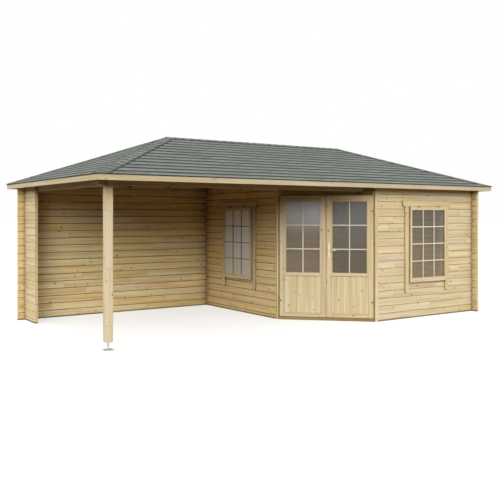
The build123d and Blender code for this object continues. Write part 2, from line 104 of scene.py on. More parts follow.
class Graph:
    """The node tree of one material or world, built a node at a time."""

    def __init__(self, owner: Material | bpy.types.World) -> None:
        """Starts an empty tree.

        Args:
            owner: the new material or world.
        """
        self.owner = owner
        owner.use_nodes = True
        self.tree = owner.node_tree
        self.tree.nodes.clear()

    def feed(self, socket: Socket, value: object) -> None:
        """Links a socket to another one, or sets its constant.

        Args:
            socket: the input to feed.
            value: an output socket or a constant.
        """
        if isinstance(value, bpy.types.NodeSocket):
            self.tree.links.new(value, socket)
        else:
            socket.default_value = value

    def add(self, kind: str, feeds: dict | None = None, **settings: object) -> bpy.types.Node:
        """Adds one node.

        Args:
            kind: the node's type name.
            feeds: inputs by name or index, each a socket or a constant.
            settings: properties of the node.

        Returns:
            The node.
        """
        node = self.tree.nodes.new(kind)
        for key, value in settings.items():
            setattr(node, key, value)
        for key, value in (feeds or {}).items():
            self.feed(node.inputs[key], value)
        return node

    def math(self, operation: str, *values: object) -> Socket:
        """Result of one arithmetic step on sockets or numbers."""
        return self.add("ShaderNodeMath", dict(enumerate(values)), operation=operation).outputs[0]

    def times(self, first: object, second: object) -> Socket:
        """Product of two numbers."""
        return self.math("MULTIPLY", first, second)

    def plus(self, first: object, second: object) -> Socket:
        """Sum of two numbers."""
        return self.math("ADD", first, second)

    def minus(self, first: object, second: object) -> Socket:
        """Difference of two numbers."""
        return self.math("SUBTRACT", first, second)

    def rise(self, value: Socket, low: object, high: object) -> Socket:
        """Smooth step of a value, from 0 at low to 1 at high."""
        feeds = {"Value": value, "From Min": low, "From Max": high}
        return self.add("ShaderNodeMapRange", feeds, interpolation_type="SMOOTHSTEP").outputs[0]

    def fall(self, value: Socket, low: object, high: object) -> Socket:
        """Smooth step of a value, from 1 at low to 0 at high."""
        return self.minus(1.0, self.rise(value, low, high))

    def spread(self, value: Socket, low: float, high: float) -> Socket:
        """Value from 0 to 1, mapped evenly to the stretch from low to high."""
        feeds = {"Value": value, "To Min": low, "To Max": high}
        return self.add("ShaderNodeMapRange", feeds).outputs["Result"]

    def mix(self, factor: object, first: object, second: object, mode: str = "MIX") -> Socket:
        """Blend of two colours.

        Args:
            factor: the second colour's share.
            first, second: colours or sockets.
            mode: the blend type.

        Returns:
            The blended colour's socket.
        """
        node = self.add("ShaderNodeMix", data_type="RGBA", blend_type=mode)
        for index, value in ((0, factor), (6, first), (7, second)):
            self.feed(node.inputs[index], value)
        return node.outputs[2]

    def tint(self, factor: object, cover: object, first: object, second: object) -> Socket:
        """Blend of two colours whose second one covers only so much."""
        return self.mix(self.times(factor, cover), first, second)

    def place(self) -> Socket:
        """The piece's own coordinates."""
        return self.add("ShaderNodeTexCoord").outputs["Object"]

    def attribute(self, name: str) -> Socket:
        """Value of one attribute of the mesh."""
        return self.add("ShaderNodeAttribute", attribute_name=name).outputs["Fac"]

    def split(self, vector: Socket) -> list[Socket]:
        """The three numbers of a vector."""
        return list(self.add("ShaderNodeSeparateXYZ", {0: vector}).outputs)

    def channels(self, colour: Socket) -> list[Socket]:
        """Red, green and blue of a colour."""
        return list(self.add("ShaderNodeSeparateColor", {0: colour}).outputs)

    def chance(self, x: object, y: object, z: object) -> bpy.types.Node:
        """White noise that is the same for the same three numbers."""
        return self.add("ShaderNodeTexWhiteNoise", {"Vector": self.point(x, y, z)})

    def point(self, x: object, y: object, z: object) -> Socket:
        """Vector of three numbers."""
        return self.add("ShaderNodeCombineXYZ", {0: x, 1: y, 2: z}).outputs[0]

    def scaled(self, vector: Socket, scale: Sequence[float]) -> Socket:
        """Vector multiplied by a constant along each axis."""
        node = self.add("ShaderNodeVectorMath", {0: vector, 1: tuple(scale)}, operation="MULTIPLY")
        return node.outputs[0]

    def moved(self, vector: Socket, shift: Socket) -> Socket:
        """Sum of two vectors."""
        return self.add("ShaderNodeVectorMath", {0: vector, 1: shift}, operation="ADD").outputs[0]

    def noise(self, vector: Socket, scale: Sequence[float], detail: float = 2.0) -> Socket:
        """Cloud noise from 0 to 1 on a scaled vector."""
        feeds = {"Vector": self.scaled(vector, scale), "Scale": 1.0, "Detail": detail}
        return self.add("ShaderNodeTexNoise", feeds).outputs[0]

    def bump(self, height: Socket, strength: float, distance: float) -> Socket:
        """Normal that follows a height map."""
        feeds = {"Height": height, "Strength": strength, "Distance": distance}
        return self.add("ShaderNodeBump", feeds).outputs[0]

    def surface(self, feeds: dict) -> Material:
        """Ends the tree in one principled shader.

        Args:
            feeds: the shader's inputs.

        Returns:
            The finished material.
        """
        shader = self.add("ShaderNodeBsdfPrincipled", feeds)
        self.add("ShaderNodeOutputMaterial", {"Surface": shader.outputs[0]})
        return self.owner


class Grain(Enum):
    """Direction of a timber's fibres: a turn about Z, then the axes along, across and into it."""

    ALONG_X = (0, (0, 2, 1))
    ALONG_Y = (0, (1, 2, 0))
    UPRIGHT = (0, (2, 0, 1))
    UPRIGHT_SIDE = (0, (2, 1, 0))
    ALONG_DOORS = (45, (0, 2, 1))
    UPRIGHT_DOORS = (45, (2, 0, 1))


@dataclass(frozen=True)
class PineFinish:
    """Planed natural pine, with grain, knots, joints and a tone of its own for each timber, and
    painted shade in its grooves and crevices and, where set, in inside corners and along a wall's
    foot.
    """

    name: str
    grain: Grain
    seed: float
    pale: Colour = srgb(222, 207, 170)
    deep: Colour = srgb(199, 179, 133)
    late: Colour = srgb(184, 157, 109)
    late_cover: float = 0.34
    fibre_cover: float = 0.16
    knot: Colour = srgb(124, 86, 48)
    knot_share: float = 0.4
    knot_cells: Triple = (5.4, 7.4, 1.0)
    knot_radii: Pair = (0.028, 0.088)
    knot_cover: float = 0.82
    knot_ring_cover: float = 0.4
    end_pale: Colour = srgb(223, 202, 153)
    end_deep: Colour = srgb(205, 178, 127)
    end_cover: float = 0.75
    end_facing: Pair = (0.75, 0.9)
    ring_scale: float = 34.0
    # Painted shade: crevice and corner colours darken grooves, crevices and inside corners where
    # ambient occlusion finds them closed in.
    crevice: Colour = srgb(130, 102, 70)
    crevice_reach: float = 0.1
    crevice_open: float = 0.8
    crevice_cover: float = 0.85
    corner: Colour = srgb(92, 64, 34)
    corner_reach: float = 0.0
    corner_open: float = 0.84
    corner_cover: float = 0.68
    closed: float = 0.42
    shelter_start: float = -100.0
    joint: Colour = srgb(88, 58, 26)
    joint_half: float = 0.0032
    joint_cover: float = 0.8
    pitch: float = 0.0
    first_joint: float = 0.0
    stock_length: float = 0.0
    first_butt: float = 0.0
    butt_line: Pair = (0.0008, 0.002)
    butt_cover: float = 0.55
    board_attribute: str = ""
    tone: float = 0.045
    hue_share: float = 0.16
    saturation_share: float = 2.6
    rail_middle: float = 0.0
    rail_half: float = 0.0
    shoulder_line: Pair = (0.0004, 0.0012)
    head_level: float = 0.0
    # Painted shade: a contact shadow darkens the foot of a wall up to this height.
    foot_shade: float = 0.0
    foot_shade_cover: float = 0.75
    rough: float = 0.62
    shine: float = 0.1

    def axes(self, g: Graph, output: str) -> list[Socket]:
        """Object coordinates or normal, sorted to along, across and into the timber.

        Args:
            g: the material's tree.
            output: the coordinate node's output.

        Returns:
            Three sockets.
        """
        turn, order = self.grain.value
        vector = g.add("ShaderNodeTexCoord").outputs[output]
        if turn:
            kind = "NORMAL" if output == "Normal" else "POINT"
            feeds = {"Vector": vector, "Rotation": (0, 0, math.radians(turn))}
            vector = g.add("ShaderNodeMapping", feeds, vector_type=kind).outputs[0]
        numbers = g.split(vector)
        return [numbers[index] for index in order]

    def swapped(self, g: Graph, along: Socket, across: Socket) -> tuple[Socket, Socket]:
        """Turns the grain by a right angle between two stiles, or above a head's lower edge.

        Args:
            g: the material's tree.
            along, across: the stiles' own coordinates.

        Returns:
            The coordinates with rails and heads laid across.
        """
        if self.head_level:
            rail = g.math("GREATER_THAN", along, self.head_level)
        else:
            rail = g.math("COMPARE", across, self.rail_middle, self.rail_half)
        change = g.times(rail, g.minus(across, along))
        return g.plus(along, change), g.minus(across, change)

    def shoulder(self, g: Graph, across: Socket) -> Socket:
        """Thin line where rails meet stiles."""
        offset = g.math("ABSOLUTE", g.minus(across, self.rail_middle))
        return g.fall(g.math("ABSOLUTE", g.minus(offset, self.rail_half)), *self.shoulder_line)

    def timber_number(self, g: Graph, across: Socket) -> Socket | float:
        """Number of the log or board that a point belongs to.

        Args:
            g: the material's tree.
            across: the coordinate across the timber.

        Returns:
            The number, which is the same all over where there is one timber.
        """
        if self.board_attribute:
            return g.attribute(self.board_attribute)
        if self.pitch:
            shifted = g.minus(across, self.first_joint)
            return g.math("FLOOR", g.math("DIVIDE", shifted, self.pitch))
        return self.seed

    def log_joint(
        self, g: Graph, along: Socket, across: Socket, number: Socket, inside: Socket
    ) -> Socket:
        """Ragged line between two logs, drawn thinner outside the canopy's shade; under the canopy
        its extra width is painted shade.

        Args:
            g: the material's tree.
            along, across: the timber's coordinates.
            number: the log's number.
            inside: one in the stretch under the canopy, in its shade.

        Returns:
            The line's strength.
        """
        near = g.math("PINGPONG", g.minus(across, self.first_joint), self.pitch / 2)
        ragged = g.noise(g.point(along, number, self.seed), (3.5, 7.0, 1.0), 3.0)
        half = g.times(g.spread(ragged, 0.4, 1.8), self.joint_half)
        half = g.times(half, g.spread(inside, 0.5, 1.0))
        return g.fall(near, g.times(half, 0.5), half)

    def butts(self, g: Graph, along: Socket, number: Socket | float) -> tuple[Socket, Socket]:
        """Joints along a timber, staggered from row to row where there are rows.

        Args:
            g: the material's tree.
            along: the coordinate along the timber.
            number: the timber's number.

        Returns:
            The number of the length that a point lies in, and the joint line's strength.
        """
        row = g.chance(number, self.seed, 3.0).outputs["Value"]
        stagger = g.times(row, self.stock_length * bool(self.pitch))
        run = g.plus(g.minus(along, self.first_butt), stagger)
        part = g.math("FLOOR", g.math("DIVIDE", run, self.stock_length))
        near = g.math("PINGPONG", run, self.stock_length / 2)
        return part, g.times(g.fall(near, *self.butt_line), self.butt_cover)

    def build(self) -> Material:
        """Builds the material.

        Returns:
            The material.
        """
        g = Graph(bpy.data.materials.new(self.name))
        along, across, into = self.axes(g, "Object")
        stile_across = across
        if self.rail_half or self.head_level:
            along, across = self.swapped(g, along, across)
        number = self.timber_number(g, across)
        inside = g.math("GREATER_THAN", along, self.shelter_start)
        lines = []
        if self.pitch:
            lines.append(self.log_joint(g, along, across, number, inside))
        if self.rail_half:
            lines.append(self.shoulder(g, stile_across))
        part: Socket | float = 0.0
        if self.stock_length:
            part, butt = self.butts(g, along, number)
            lines.append(butt)
        own = g.chance(number, part, self.seed).outputs["Color"]
        place = g.moved(g.point(along, across, into), g.scaled(own, (23.0, 7.0, 5.0)))
        colour, height = self.figure(g, place)
        colour = self.with_knots(g, place, self.toned(g, own, colour))
        colour = self.with_end_grain(g, across, into, own, colour)
        for line in lines:
            colour = g.tint(line, self.joint_cover, colour, self.joint)
        # Painted shade: contact shadow along the foot of the wall.
        if self.foot_shade:
            foot_shadow = g.fall(g.split(g.place())[2], self.foot_shade / 2, self.foot_shade)
            colour = g.tint(foot_shadow, self.foot_shade_cover, colour, self.joint)
        # Painted shade in grooves and crevices, and under the canopy in inside corners.
        hollow = self.closed_in(g, self.crevice_reach, self.crevice_open)
        colour = self.with_painted_shade(g, g.times(hollow, self.crevice_cover), self.crevice, colour)
        if self.corner_reach:
            hollow = self.closed_in(g, self.corner_reach, self.corner_open)
            cover = g.times(hollow, g.times(inside, self.corner_cover))
            colour = self.with_painted_shade(g, cover, self.corner, colour)
        return g.surface(
            {
                "Base Color": colour,
                "Roughness": g.spread(height, self.rough - 0.08, self.rough + 0.1),
                "Specular IOR Level": self.shine,
                "Normal": g.bump(height, strength=0.35, distance=0.0015),
            }
        )

    def figure(self, g: Graph, place: Socket) -> tuple[Socket, Socket]:
        """Streaks, growth lines and fibres.

        Args:
            g: the material's tree.
            place: the timber's own coordinates.

        Returns:
            The colour and a height map.
        """
        streak = g.noise(place, (0.9, 24.0, 24.0), 4.0)
        fibre = g.noise(place, (13.0, 420.0, 420.0), 2.0)
        bend = g.noise(place, (2.2, 9.0, 9.0), 2.0)
        along, across, into = g.split(place)
        swayed = g.point(along, g.plus(across, g.times(bend, 0.05)), into)
        feeds = {
            "Vector": g.scaled(swayed, (0.6, 30.0, 12.0)),
            "Scale": 1.0,
            "Distortion": 2.2,
            "Detail": 2.0,
        }
        wave = g.add("ShaderNodeTexWave", feeds, bands_direction="Y").outputs[1]
        colour = g.mix(g.rise(streak, 0.3, 0.72), self.pale, self.deep)
        colour = g.tint(g.rise(wave, 0.55, 1.0), self.late_cover, colour, self.late)
        colour = g.tint(g.rise(fibre, 0.5, 0.8), self.fibre_cover, colour, self.late)
        return colour, g.plus(g.times(fibre, 0.6), g.times(wave, 0.4))

    def toned(self, g: Graph, own: Socket, colour: Socket) -> Socket:
        """Shifts a colour's hue, strength and lightness by a timber's own chance.

        Args:
            g: the material's tree.
            own: the timber's own random colour.
            colour: the colour to shift.

        Returns:
            The shifted colour.
        """
        red, green, blue = g.channels(own)
        hue = self.tone * self.hue_share
        strength = self.tone * self.saturation_share
        feeds = {
            "Hue": g.spread(green, 0.5 - hue, 0.5 + hue),
            "Saturation": g.spread(red, 1 - strength, 1 + strength),
            "Value": g.spread(blue, 1 - self.tone, 1 + self.tone),
            "Color": colour,
        }
        return g.add("ShaderNodeHueSaturation", feeds).outputs[0]

    def with_knots(self, g: Graph, place: Socket, colour: Socket) -> Socket:
        """Lays brown knots with a warm ring over a colour.

        Args:
            g: the material's tree.
            place: the timber's own coordinates.
            colour: the colour below.

        Returns:
            The colour with knots.
        """
        along, across, into = g.split(place)
        flat = g.point(along, g.plus(across, into), 0.0)
        feeds = {"Vector": g.scaled(flat, self.knot_cells), "Scale": 1.0}
        cells = g.add("ShaderNodeTexVoronoi", feeds, voronoi_dimensions="2D")
        distance = cells.outputs["Distance"]
        red, green, _ = g.channels(cells.outputs["Color"])
        radius = g.spread(green, *self.knot_radii)
        has_knot = g.math("LESS_THAN", red, self.knot_share)
        core = g.times(g.fall(distance, g.times(radius, 0.6), radius), has_knot)
        ring = g.times(g.fall(distance, radius, g.times(radius, 2.6)), has_knot)
        colour = g.tint(ring, self.knot_ring_cover, colour, self.late)
        return g.tint(core, self.knot_cover, colour, self.knot)

    def closed_in(self, g: Graph, reach: float, open_share: float) -> Socket:
        """One in a groove or an inside corner, and zero in the open.

        Args:
            g: the material's tree.
            reach: how far away a surface still counts as close.
            open_share: share of open directions that counts as the open.

        Returns:
            How closed in a point is.
        """
        hollow = g.add("ShaderNodeAmbientOcclusion", {"Distance": reach}, samples=4)
        return g.rise(hollow.outputs["AO"], open_share, self.closed)

    @staticmethod
    def with_painted_shade(g: Graph, cover: Socket, painted_shade: Colour, colour: Socket) -> Socket:
        """Darkens a colour where painted shade covers it."""
        return g.mix(cover, colour, g.mix(1.0, colour, painted_shade, "MULTIPLY"))

    def with_end_grain(
        self, g: Graph, across: Socket, into: Socket, own: Socket, colour: Socket
    ) -> Socket:
        """Lays growth rings over the sawn ends.

        Args:
            g: the material's tree.
            across, into: coordinates over the end.
            own: the timber's own random colour, which places its heart.
            colour: the colour of the sides.

        Returns:
            The colour with rings on the ends.
        """
        if self.rail_half or self.head_level:
            return colour
        facing = g.math("ABSOLUTE", self.axes(g, "Normal")[0])
        heart = g.scaled(g.point(across, into, 0.0), (self.ring_scale, self.ring_scale, 1.0))
        place = g.moved(heart, g.scaled(own, (3.0, 3.0, 0.0)))
        feeds = {"Vector": place, "Scale": 1.0, "Distortion": 0.8}
        rings = g.add("ShaderNodeTexWave", feeds, wave_type="RINGS", rings_direction="Z")
        ends = g.tint(rings.outputs[1], self.end_cover, self.end_pale, self.end_deep)
        return g.mix(g.rise(facing, *self.end_facing), colour, ends)


@dataclass(frozen=True)
class ShingleFinish:
    """Bitumen felt with grey-green mineral grit, with painted shadow under and along each course's
    lower edge and along the caps' edges.
    """

    name: str
    exposure: float
    grey: Colour = srgb(98, 103, 96)
    green: Colour = srgb(86, 93, 88)
    pale: Colour = srgb(130, 135, 126)
    # Used for the dark grit and for all painted shadow on the shingles.
    shade: Colour = srgb(26, 30, 29)
    tone_cover: float = 0.42
    dark_grit_cover: float = 0.4
    pale_grit_cover: float = 0.3
    # Lighter towards each tab's lower edge.
    lower_part_pale_cover: float = 0.4
    # Painted shadow: the stretch of each tab just under the next course's lower edge.
    course_shadow: Pair = (0.07, 0.025)
    course_shadow_share: float = 1.0
    # Painted shadow along the outer edges of the caps.
    cap_edge_shadow: Pair = (0.74, 0.86)
    cap_edge_shadow_cover: float = 0.7
    # Painted shade on the lowest strip of each tab and on its front edge.
    edge: float = 0.006
    edge_cover: float = 0.35

    def build(self) -> Material:
        """Builds the material.

        Returns:
            The material.
        """
        g = Graph(bpy.data.materials.new(self.name))
        place = g.place()
        tone = g.attribute("tone")
        lap = g.attribute("lap")
        grit = g.noise(place, (420.0, 420.0, 420.0), 2.0)
        cloud = g.noise(place, (2.6, 2.6, 2.6), 3.0)
        course_shadow = g.rise(lap, *(self.exposure - start for start in self.course_shadow))
        course_shadow_cover = g.spread(tone, 0.65 * self.course_shadow_share, self.course_shadow_share)
        cap_edge_shadow = g.rise(g.attribute("edge"), *self.cap_edge_shadow)
        colour = g.mix(g.rise(cloud, 0.3, 0.7), self.grey, self.green)
        for factor, cover, second in (
            (tone, self.tone_cover, self.pale),
            (g.rise(grit, 0.5, 0.72), self.dark_grit_cover, self.shade),
            (g.rise(grit, 0.5, 0.28), self.pale_grit_cover, self.pale),
            # Lighter towards each tab's lower edge.
            (g.rise(lap, 0.07, 0.01), self.lower_part_pale_cover, self.pale),
            # Painted shadow under the next course, along the cap edges and at each tab's lower
            # edge.
            (course_shadow, course_shadow_cover, self.shade),
            (cap_edge_shadow, self.cap_edge_shadow_cover, self.shade),
            (g.rise(lap, self.edge, 0.0), self.edge_cover, self.shade),
        ):
            colour = g.tint(factor, cover, colour, second)
        return g.surface(
            {
                "Base Color": colour,
                "Roughness": g.spread(grit, 0.82, 0.98),
                "Specular IOR Level": 0.25,
                "Normal": g.bump(grit, strength=0.5, distance=0.002),
            }
        )


@dataclass(frozen=True)
class MetalFinish:
    """Bare or coated metal with a faint brushed or clouded surface."""

    name: str
    colour: Colour
    dull: Colour
    rough: float = 0.5
    stretch: Triple = (60.0, 60.0, 60.0)
    metallic: float = 0.5

    def build(self) -> Material:
        """Builds the material.

        Returns:
            The material.
        """
        g = Graph(bpy.data.materials.new(self.name))
        place = g.place()
        brush = g.noise(place, self.stretch, 3.0)
        return g.surface(
            {
                "Base Color": g.mix(g.rise(brush, 0.35, 0.7), self.colour, self.dull),
                "Metallic": self.metallic,
                "Roughness": g.spread(brush, self.rough - 0.07, self.rough + 0.1),
                "Normal": g.bump(brush, strength=0.08, distance=0.0005),
            }
        )


@dataclass(frozen=True)
class GlassFinish:
    """Thin float glass with an opaque share whose colour, changing from foot to head, is painted
    reflection and painted light.
    """

    name: str
    upper: Colour
    lower: Colour
    # Opaque share of the glass that carries the painted reflection.
    painted_reflection: float
    foot: float = 0.6
    head: float = 1.8

    def build(self) -> Material:
        """Builds the material.

        Returns:
            The material.
        """
        g = Graph(bpy.data.materials.new(self.name))
        place = g.place()
        level = g.split(place)[2]
        smear = g.noise(place, (3.0, 3.0, 3.0), 4.0)
        share = g.plus(g.rise(level, self.foot, self.head), g.spread(smear, -0.15, 0.15))
        return g.surface(
            {
                "Base Color": g.mix(share, self.lower, self.upper),
                "Roughness": g.spread(smear, 0.03, 0.1),
                "IOR": 1.5,
                "Alpha": self.painted_reflection,
            }
        )


class Bench:
    """Modelling steps that the sub-assemblies share."""

    @staticmethod
    def clear() -> None:
        """Leaves edit mode and deselects everything."""
        if bpy.context.object and bpy.context.object.mode != "OBJECT":
            bpy.ops.object.mode_set(mode="OBJECT")
        bpy.ops.object.select_all(action="DESELECT")

    @staticmethod
    def hold(piece: Piece) -> None:
        """Selects one piece alone and makes it active.

        Args:
            piece: the piece.
        """
        Bench.clear()
        piece.select_set(True)
        bpy.context.view_layer.objects.active = piece

    @staticmethod
    @contextmanager
    def editing(piece: Piece) -> Iterator[None]:
        """Edit mode on one piece, with all of it selected.

        Args:
            piece: the piece.

        Returns:
            A context that ends in object mode.
        """
        Bench.hold(piece)
        bpy.ops.object.mode_set(mode="EDIT")
        bpy.ops.mesh.select_mode(type="EDGE")
        bpy.ops.mesh.select_all(action="SELECT")
        yield
        bpy.ops.object.mode_set(mode="OBJECT")

    @staticmethod
    def pick_edges(piece: Piece, test: Callable[[Vector, Vector], bool]) -> None:
        """Selects, in edit mode, the edges whose two ends pass a test.

        Args:
            piece: the piece in edit mode.
            test: says of an edge's two ends whether the edge is wanted.
        """
        bpy.ops.mesh.select_all(action="DESELECT")
        mesh = bmesh.from_edit_mesh(piece.data)
        for edge in mesh.edges:
            edge.select_set(test(edge.verts[0].co, edge.verts[1].co))
        bmesh.update_edit_mesh(piece.data)

    @staticmethod
    def soften(width: float, segments: int = 2) -> None:
        """Bevels the selected edges."""
        bpy.ops.mesh.bevel(offset=width, segments=segments, affect="EDGES")

    @staticmethod
    def settle(piece: Piece, matrix: Matrix | None = None) -> Piece:
        """Puts a piece's place into its mesh.

        Args:
            piece: the piece.
            matrix: where its own axes go, if that isn't where it is.

        Returns:
            The piece, at the origin.
        """
        Bench.hold(piece)
        if matrix is not None:
            piece.matrix_world = matrix @ piece.matrix_world
        bpy.ops.object.transform_apply(location=True, rotation=True, scale=True)
        return piece

    @staticmethod
    def block(name: str, low: Sequence[float], high: Sequence[float], ease: float = 0.0) -> Piece:
        """Box between two corners with eased edges.

        Args:
            name: the piece's name.
            low, high: its lowest and highest corners.
            ease: width of the bevel on its edges.

        Returns:
            The piece.
        """
        Bench.clear()
        low, high = Vector(low), Vector(high)
        bpy.ops.mesh.primitive_cube_add(size=1, location=(low + high) / 2, scale=high - low)
        piece = bpy.context.object
        piece.name = name
        Bench.settle(piece)
        if ease:
            with Bench.editing(piece):
                Bench.soften(ease)
        return piece

    @staticmethod
    def ring(name: str, low: Vector, high: Vector, width: float, ease: float) -> Piece:
        """Mitred frame of four strips round an opening that faces -Y.

        Args:
            name: the piece's name.
            low, high: outer corners of the frame, front to back along Y.
            width: width of the strips.
            ease: bevel on the inner front edge.

        Returns:
            The piece.
        """
        Bench.clear()
        middle = (low + high) / 2
        back = (middle.x, high.y, middle.z)
        bpy.ops.mesh.primitive_plane_add(size=1, location=back, rotation=(math.pi / 2, 0, 0))
        piece = bpy.context.object
        piece.name = name
        piece.scale = (high.x - low.x, high.z - low.z, 1)
        Bench.settle(piece)
        with Bench.editing(piece):
            bpy.ops.mesh.select_mode(type="FACE")
            bpy.ops.mesh.select_all(action="SELECT")
            bpy.ops.mesh.inset(thickness=width, depth=0)
            bpy.ops.mesh.delete(type="FACE")
            bpy.ops.mesh.select_all(action="SELECT")
            draw = {"value": (0, low.y - high.y, 0)}
            bpy.ops.mesh.extrude_region_move(TRANSFORM_OT_translate=draw)
            bpy.ops.mesh.select_all(action="SELECT")
            bpy.ops.mesh.normals_make_consistent(inside=False)
            bpy.ops.mesh.select_mode(type="EDGE")
            reach = (high.x - low.x) / 2 - width + ease
            height = (high.z - low.z) / 2 - width + ease

            def inner_front(first: Vector, second: Vector) -> bool:
                """True for the edges round the opening on the front."""
                ends = (first - middle, second - middle)
                return all(
                    abs(end.x) < reach and abs(end.z) < height and end.y < 0 for end in ends
                )

            Bench.pick_edges(piece, inner_front)
            Bench.soften(ease)
        return piece

    @staticmethod
    def rod(
        name: str, start: Sequence[float], end: Sequence[float], radius: float, ease: float
    ) -> Piece:
        """Round bar with eased ends.

        Args:
            name: the piece's name.
            start, end: middles of its two ends.
            radius: its radius.
            ease: bevel round its ends.

        Returns:
            The piece.
        """
        Bench.clear()
        start, end = Vector(start), Vector(end)
        length = (end - start).length
        bpy.ops.mesh.primitive_cylinder_add(
            vertices=16,
            radius=radius,
            depth=length,
            location=(start + end) / 2,
            rotation=(end - start).to_track_quat("Z", "Y").to_euler(),
        )
        piece = bpy.context.object
        piece.name = name
        with Bench.editing(piece):
            half = length / 2 - ease
            Bench.pick_edges(piece, lambda a, b: abs(a.z) > half and abs(a.z - b.z) < ease)
            Bench.soften(ease)
        Bench.settle(piece)
        bpy.ops.object.shade_smooth_by_angle(angle=math.radians(40))
        return piece

    @staticmethod
    def apply(piece: Piece, modifier: bpy.types.Modifier) -> None:
        """Makes a modifier's result the piece's own mesh."""
        Bench.hold(piece)
        bpy.ops.object.modifier_apply(modifier=modifier.name)

    @staticmethod
    def array(piece: Piece, count: int, step: Sequence[float]) -> None:
        """Repeats a piece along a step, as one mesh.

        Args:
            piece: the piece.
            count: how many there are in the end.
            step: from each one to the next.
        """
        modifier = piece.modifiers.new("repeat", "ARRAY")
        modifier.count = count
        modifier.use_relative_offset = False
        modifier.use_constant_offset = True
        modifier.constant_offset_displace = step
        Bench.apply(piece, modifier)

    @staticmethod
    def copy(piece: Piece, shift: Sequence[float]) -> Piece:
        """Copy of a piece with a mesh of its own.

        Args:
            piece: the piece.
            shift: how far the copy is moved.

        Returns:
            The copy.
        """
        twin = piece.copy()
        twin.data = piece.data.copy()
        bpy.context.collection.objects.link(twin)
        twin.location = Vector(shift)
        return Bench.settle(twin)

    @staticmethod
    def join(name: str, pieces: Sequence[Piece]) -> Piece:
        """Joins pieces into one mesh.

        Args:
            name: the name of the result.
            pieces: the pieces.

        Returns:
            The joined piece.
        """
        Bench.hold(pieces[0])
        for piece in pieces:
            piece.select_set(True)
        if len(pieces) > 1:
            bpy.ops.object.join()
        pieces[0].name = name
        return pieces[0]

    @staticmethod
    def cut(piece: Piece, point: Vector, outwards: Vector, fill: bool = True) -> None:
        """Removes what lies outside a plane.

        Args:
            piece: the piece.
            point: a point of the plane.
            outwards: the plane's normal, towards what goes.
            fill: whether the cut is closed.
        """
        with Bench.editing(piece):
            bpy.ops.mesh.bisect(
                plane_co=point, plane_no=outwards, use_fill=fill, clear_outer=True
            )

    @staticmethod
    def mark(piece: Piece, name: str, values: Sequence[float], domain: str = "POINT") -> None:
        """Stores a number for each vertex or face of a piece."""
        layer = piece.data.attributes.new(name, "FLOAT", domain)
        layer.data.foreach_set("value", np.array(values, np.float32))

    @staticmethod
    def number_copies(piece: Piece, faces_each: int, name: str, seed: int) -> None:
        """Gives each copy of an array a value of its own, from 0 to 1.

        Args:
            piece: the array.
            faces_each: how many faces one copy has.
            name: the attribute's name.
            seed: start of the random draws.
        """
        count = len(piece.data.polygons)
        draws = np.random.default_rng(seed).random(count // faces_each + 1)
        Bench.mark(piece, name, draws[np.arange(count) // faces_each], "FACE")

    @staticmethod
    def boarding(
        low: Sequence[float],
        high: Sequence[float],
        edges: Callable[[Vector, Vector], bool],
        joint: float,
        count: int,
        step: Sequence[float],
        seed: int,
    ) -> Piece:
        """Row of equal boards, chamfered at their joints and numbered.

        Args:
            low, high: corners of the first board.
            edges: says which of its edges get the chamfer.
            joint: width of the chamfer.
            count: how many boards there are.
            step: from each board to the next.
            seed: start of the random tones.

        Returns:
            The boards as one piece.
        """
        board = Bench.block("board", low, high)
        with Bench.editing(board):
            Bench.pick_edges(board, edges)
            Bench.soften(joint, 1)
        faces = len(board.data.polygons)
        Bench.array(board, count, step)
        Bench.number_copies(board, faces, "board", seed)
        return board


def dress(piece: Piece, material: Material) -> None:
    """Gives a piece one material and logs it.

    Args:
        piece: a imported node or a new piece.
        material: its finish.
    """
    piece.data.materials.clear()
    piece.data.materials.append(material)
    log.info("%s: dressed with %s", piece.name, material.name)


def report(piece: Piece, body: str, slot: str, material: Material, *nodes: str) -> Piece:
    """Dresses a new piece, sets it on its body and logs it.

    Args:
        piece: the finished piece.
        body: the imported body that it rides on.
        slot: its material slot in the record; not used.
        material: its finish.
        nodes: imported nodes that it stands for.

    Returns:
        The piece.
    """
    dress(piece, material)
    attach(piece, body)
    if nodes:
        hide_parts(*nodes)
    log.info("%s: %d faces on %s", piece.name, len(piece.data.polygons), body)
    return piece


@dataclass(frozen=True)
class Place:
    """Axes of a wall's joinery: X along the wall, Y inwards and Z up."""

    origin: Vector
    turn: float

    @property
    def matrix(self) -> Matrix:
        """From these axes to the object's own."""
        return Matrix.Translation(self.origin) @ Matrix.Rotation(self.turn, 4, "Z")

    def box(self, node: Piece) -> tuple[Vector, Vector]:
        """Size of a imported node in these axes.

        Args:
            node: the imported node.

        Returns:
            Its lowest and highest corner.
        """
        back = self.matrix.inverted()
        corners = np.array([back @ vertex.co for vertex in node.data.vertices])
        return Vector(corners.min(0)), Vector(corners.max(0))

    def bead(
        self, name: str, box: tuple[Vector, Vector], depth: float, width: float, ease: float
    ) -> Piece:
        """Mitred bead round the front of a pane or panel.

        Args:
            name: the piece's name.
            box: lowest and highest corner of the pane in these axes.
            depth, width: size of the bead's section.
            ease: bevel on its inner edge.

        Returns:
            The piece.
        """
        low, high = box
        front = Vector((low.x, low.y - depth, low.z))
        back = Vector((high.x, low.y, high.z))
        return Bench.settle(Bench.ring(name, front, back, width, ease), self.matrix)


class Slope(Enum):
    """The four roof slopes, with the plan direction that each falls in."""

    FRONT = (0, -1, 0)
    REAR = (0, 1, 0)
    LEFT = (-1, 0, 0)
    RIGHT = (1, 0, 0)

    @property
    def down(self) -> Vector:
        """Plan direction to the eave."""
        return Vector(self.value)

    def node(self, part: str) -> str:
        """Name of this slope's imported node."""
        return f"{self.name.lower()}_{part}"

    def reach(self, part: str) -> float:
        """Plan distance from the roof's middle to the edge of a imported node."""
        low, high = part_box(self.node(part))
        return max(low.dot(self.down), high.dot(self.down))


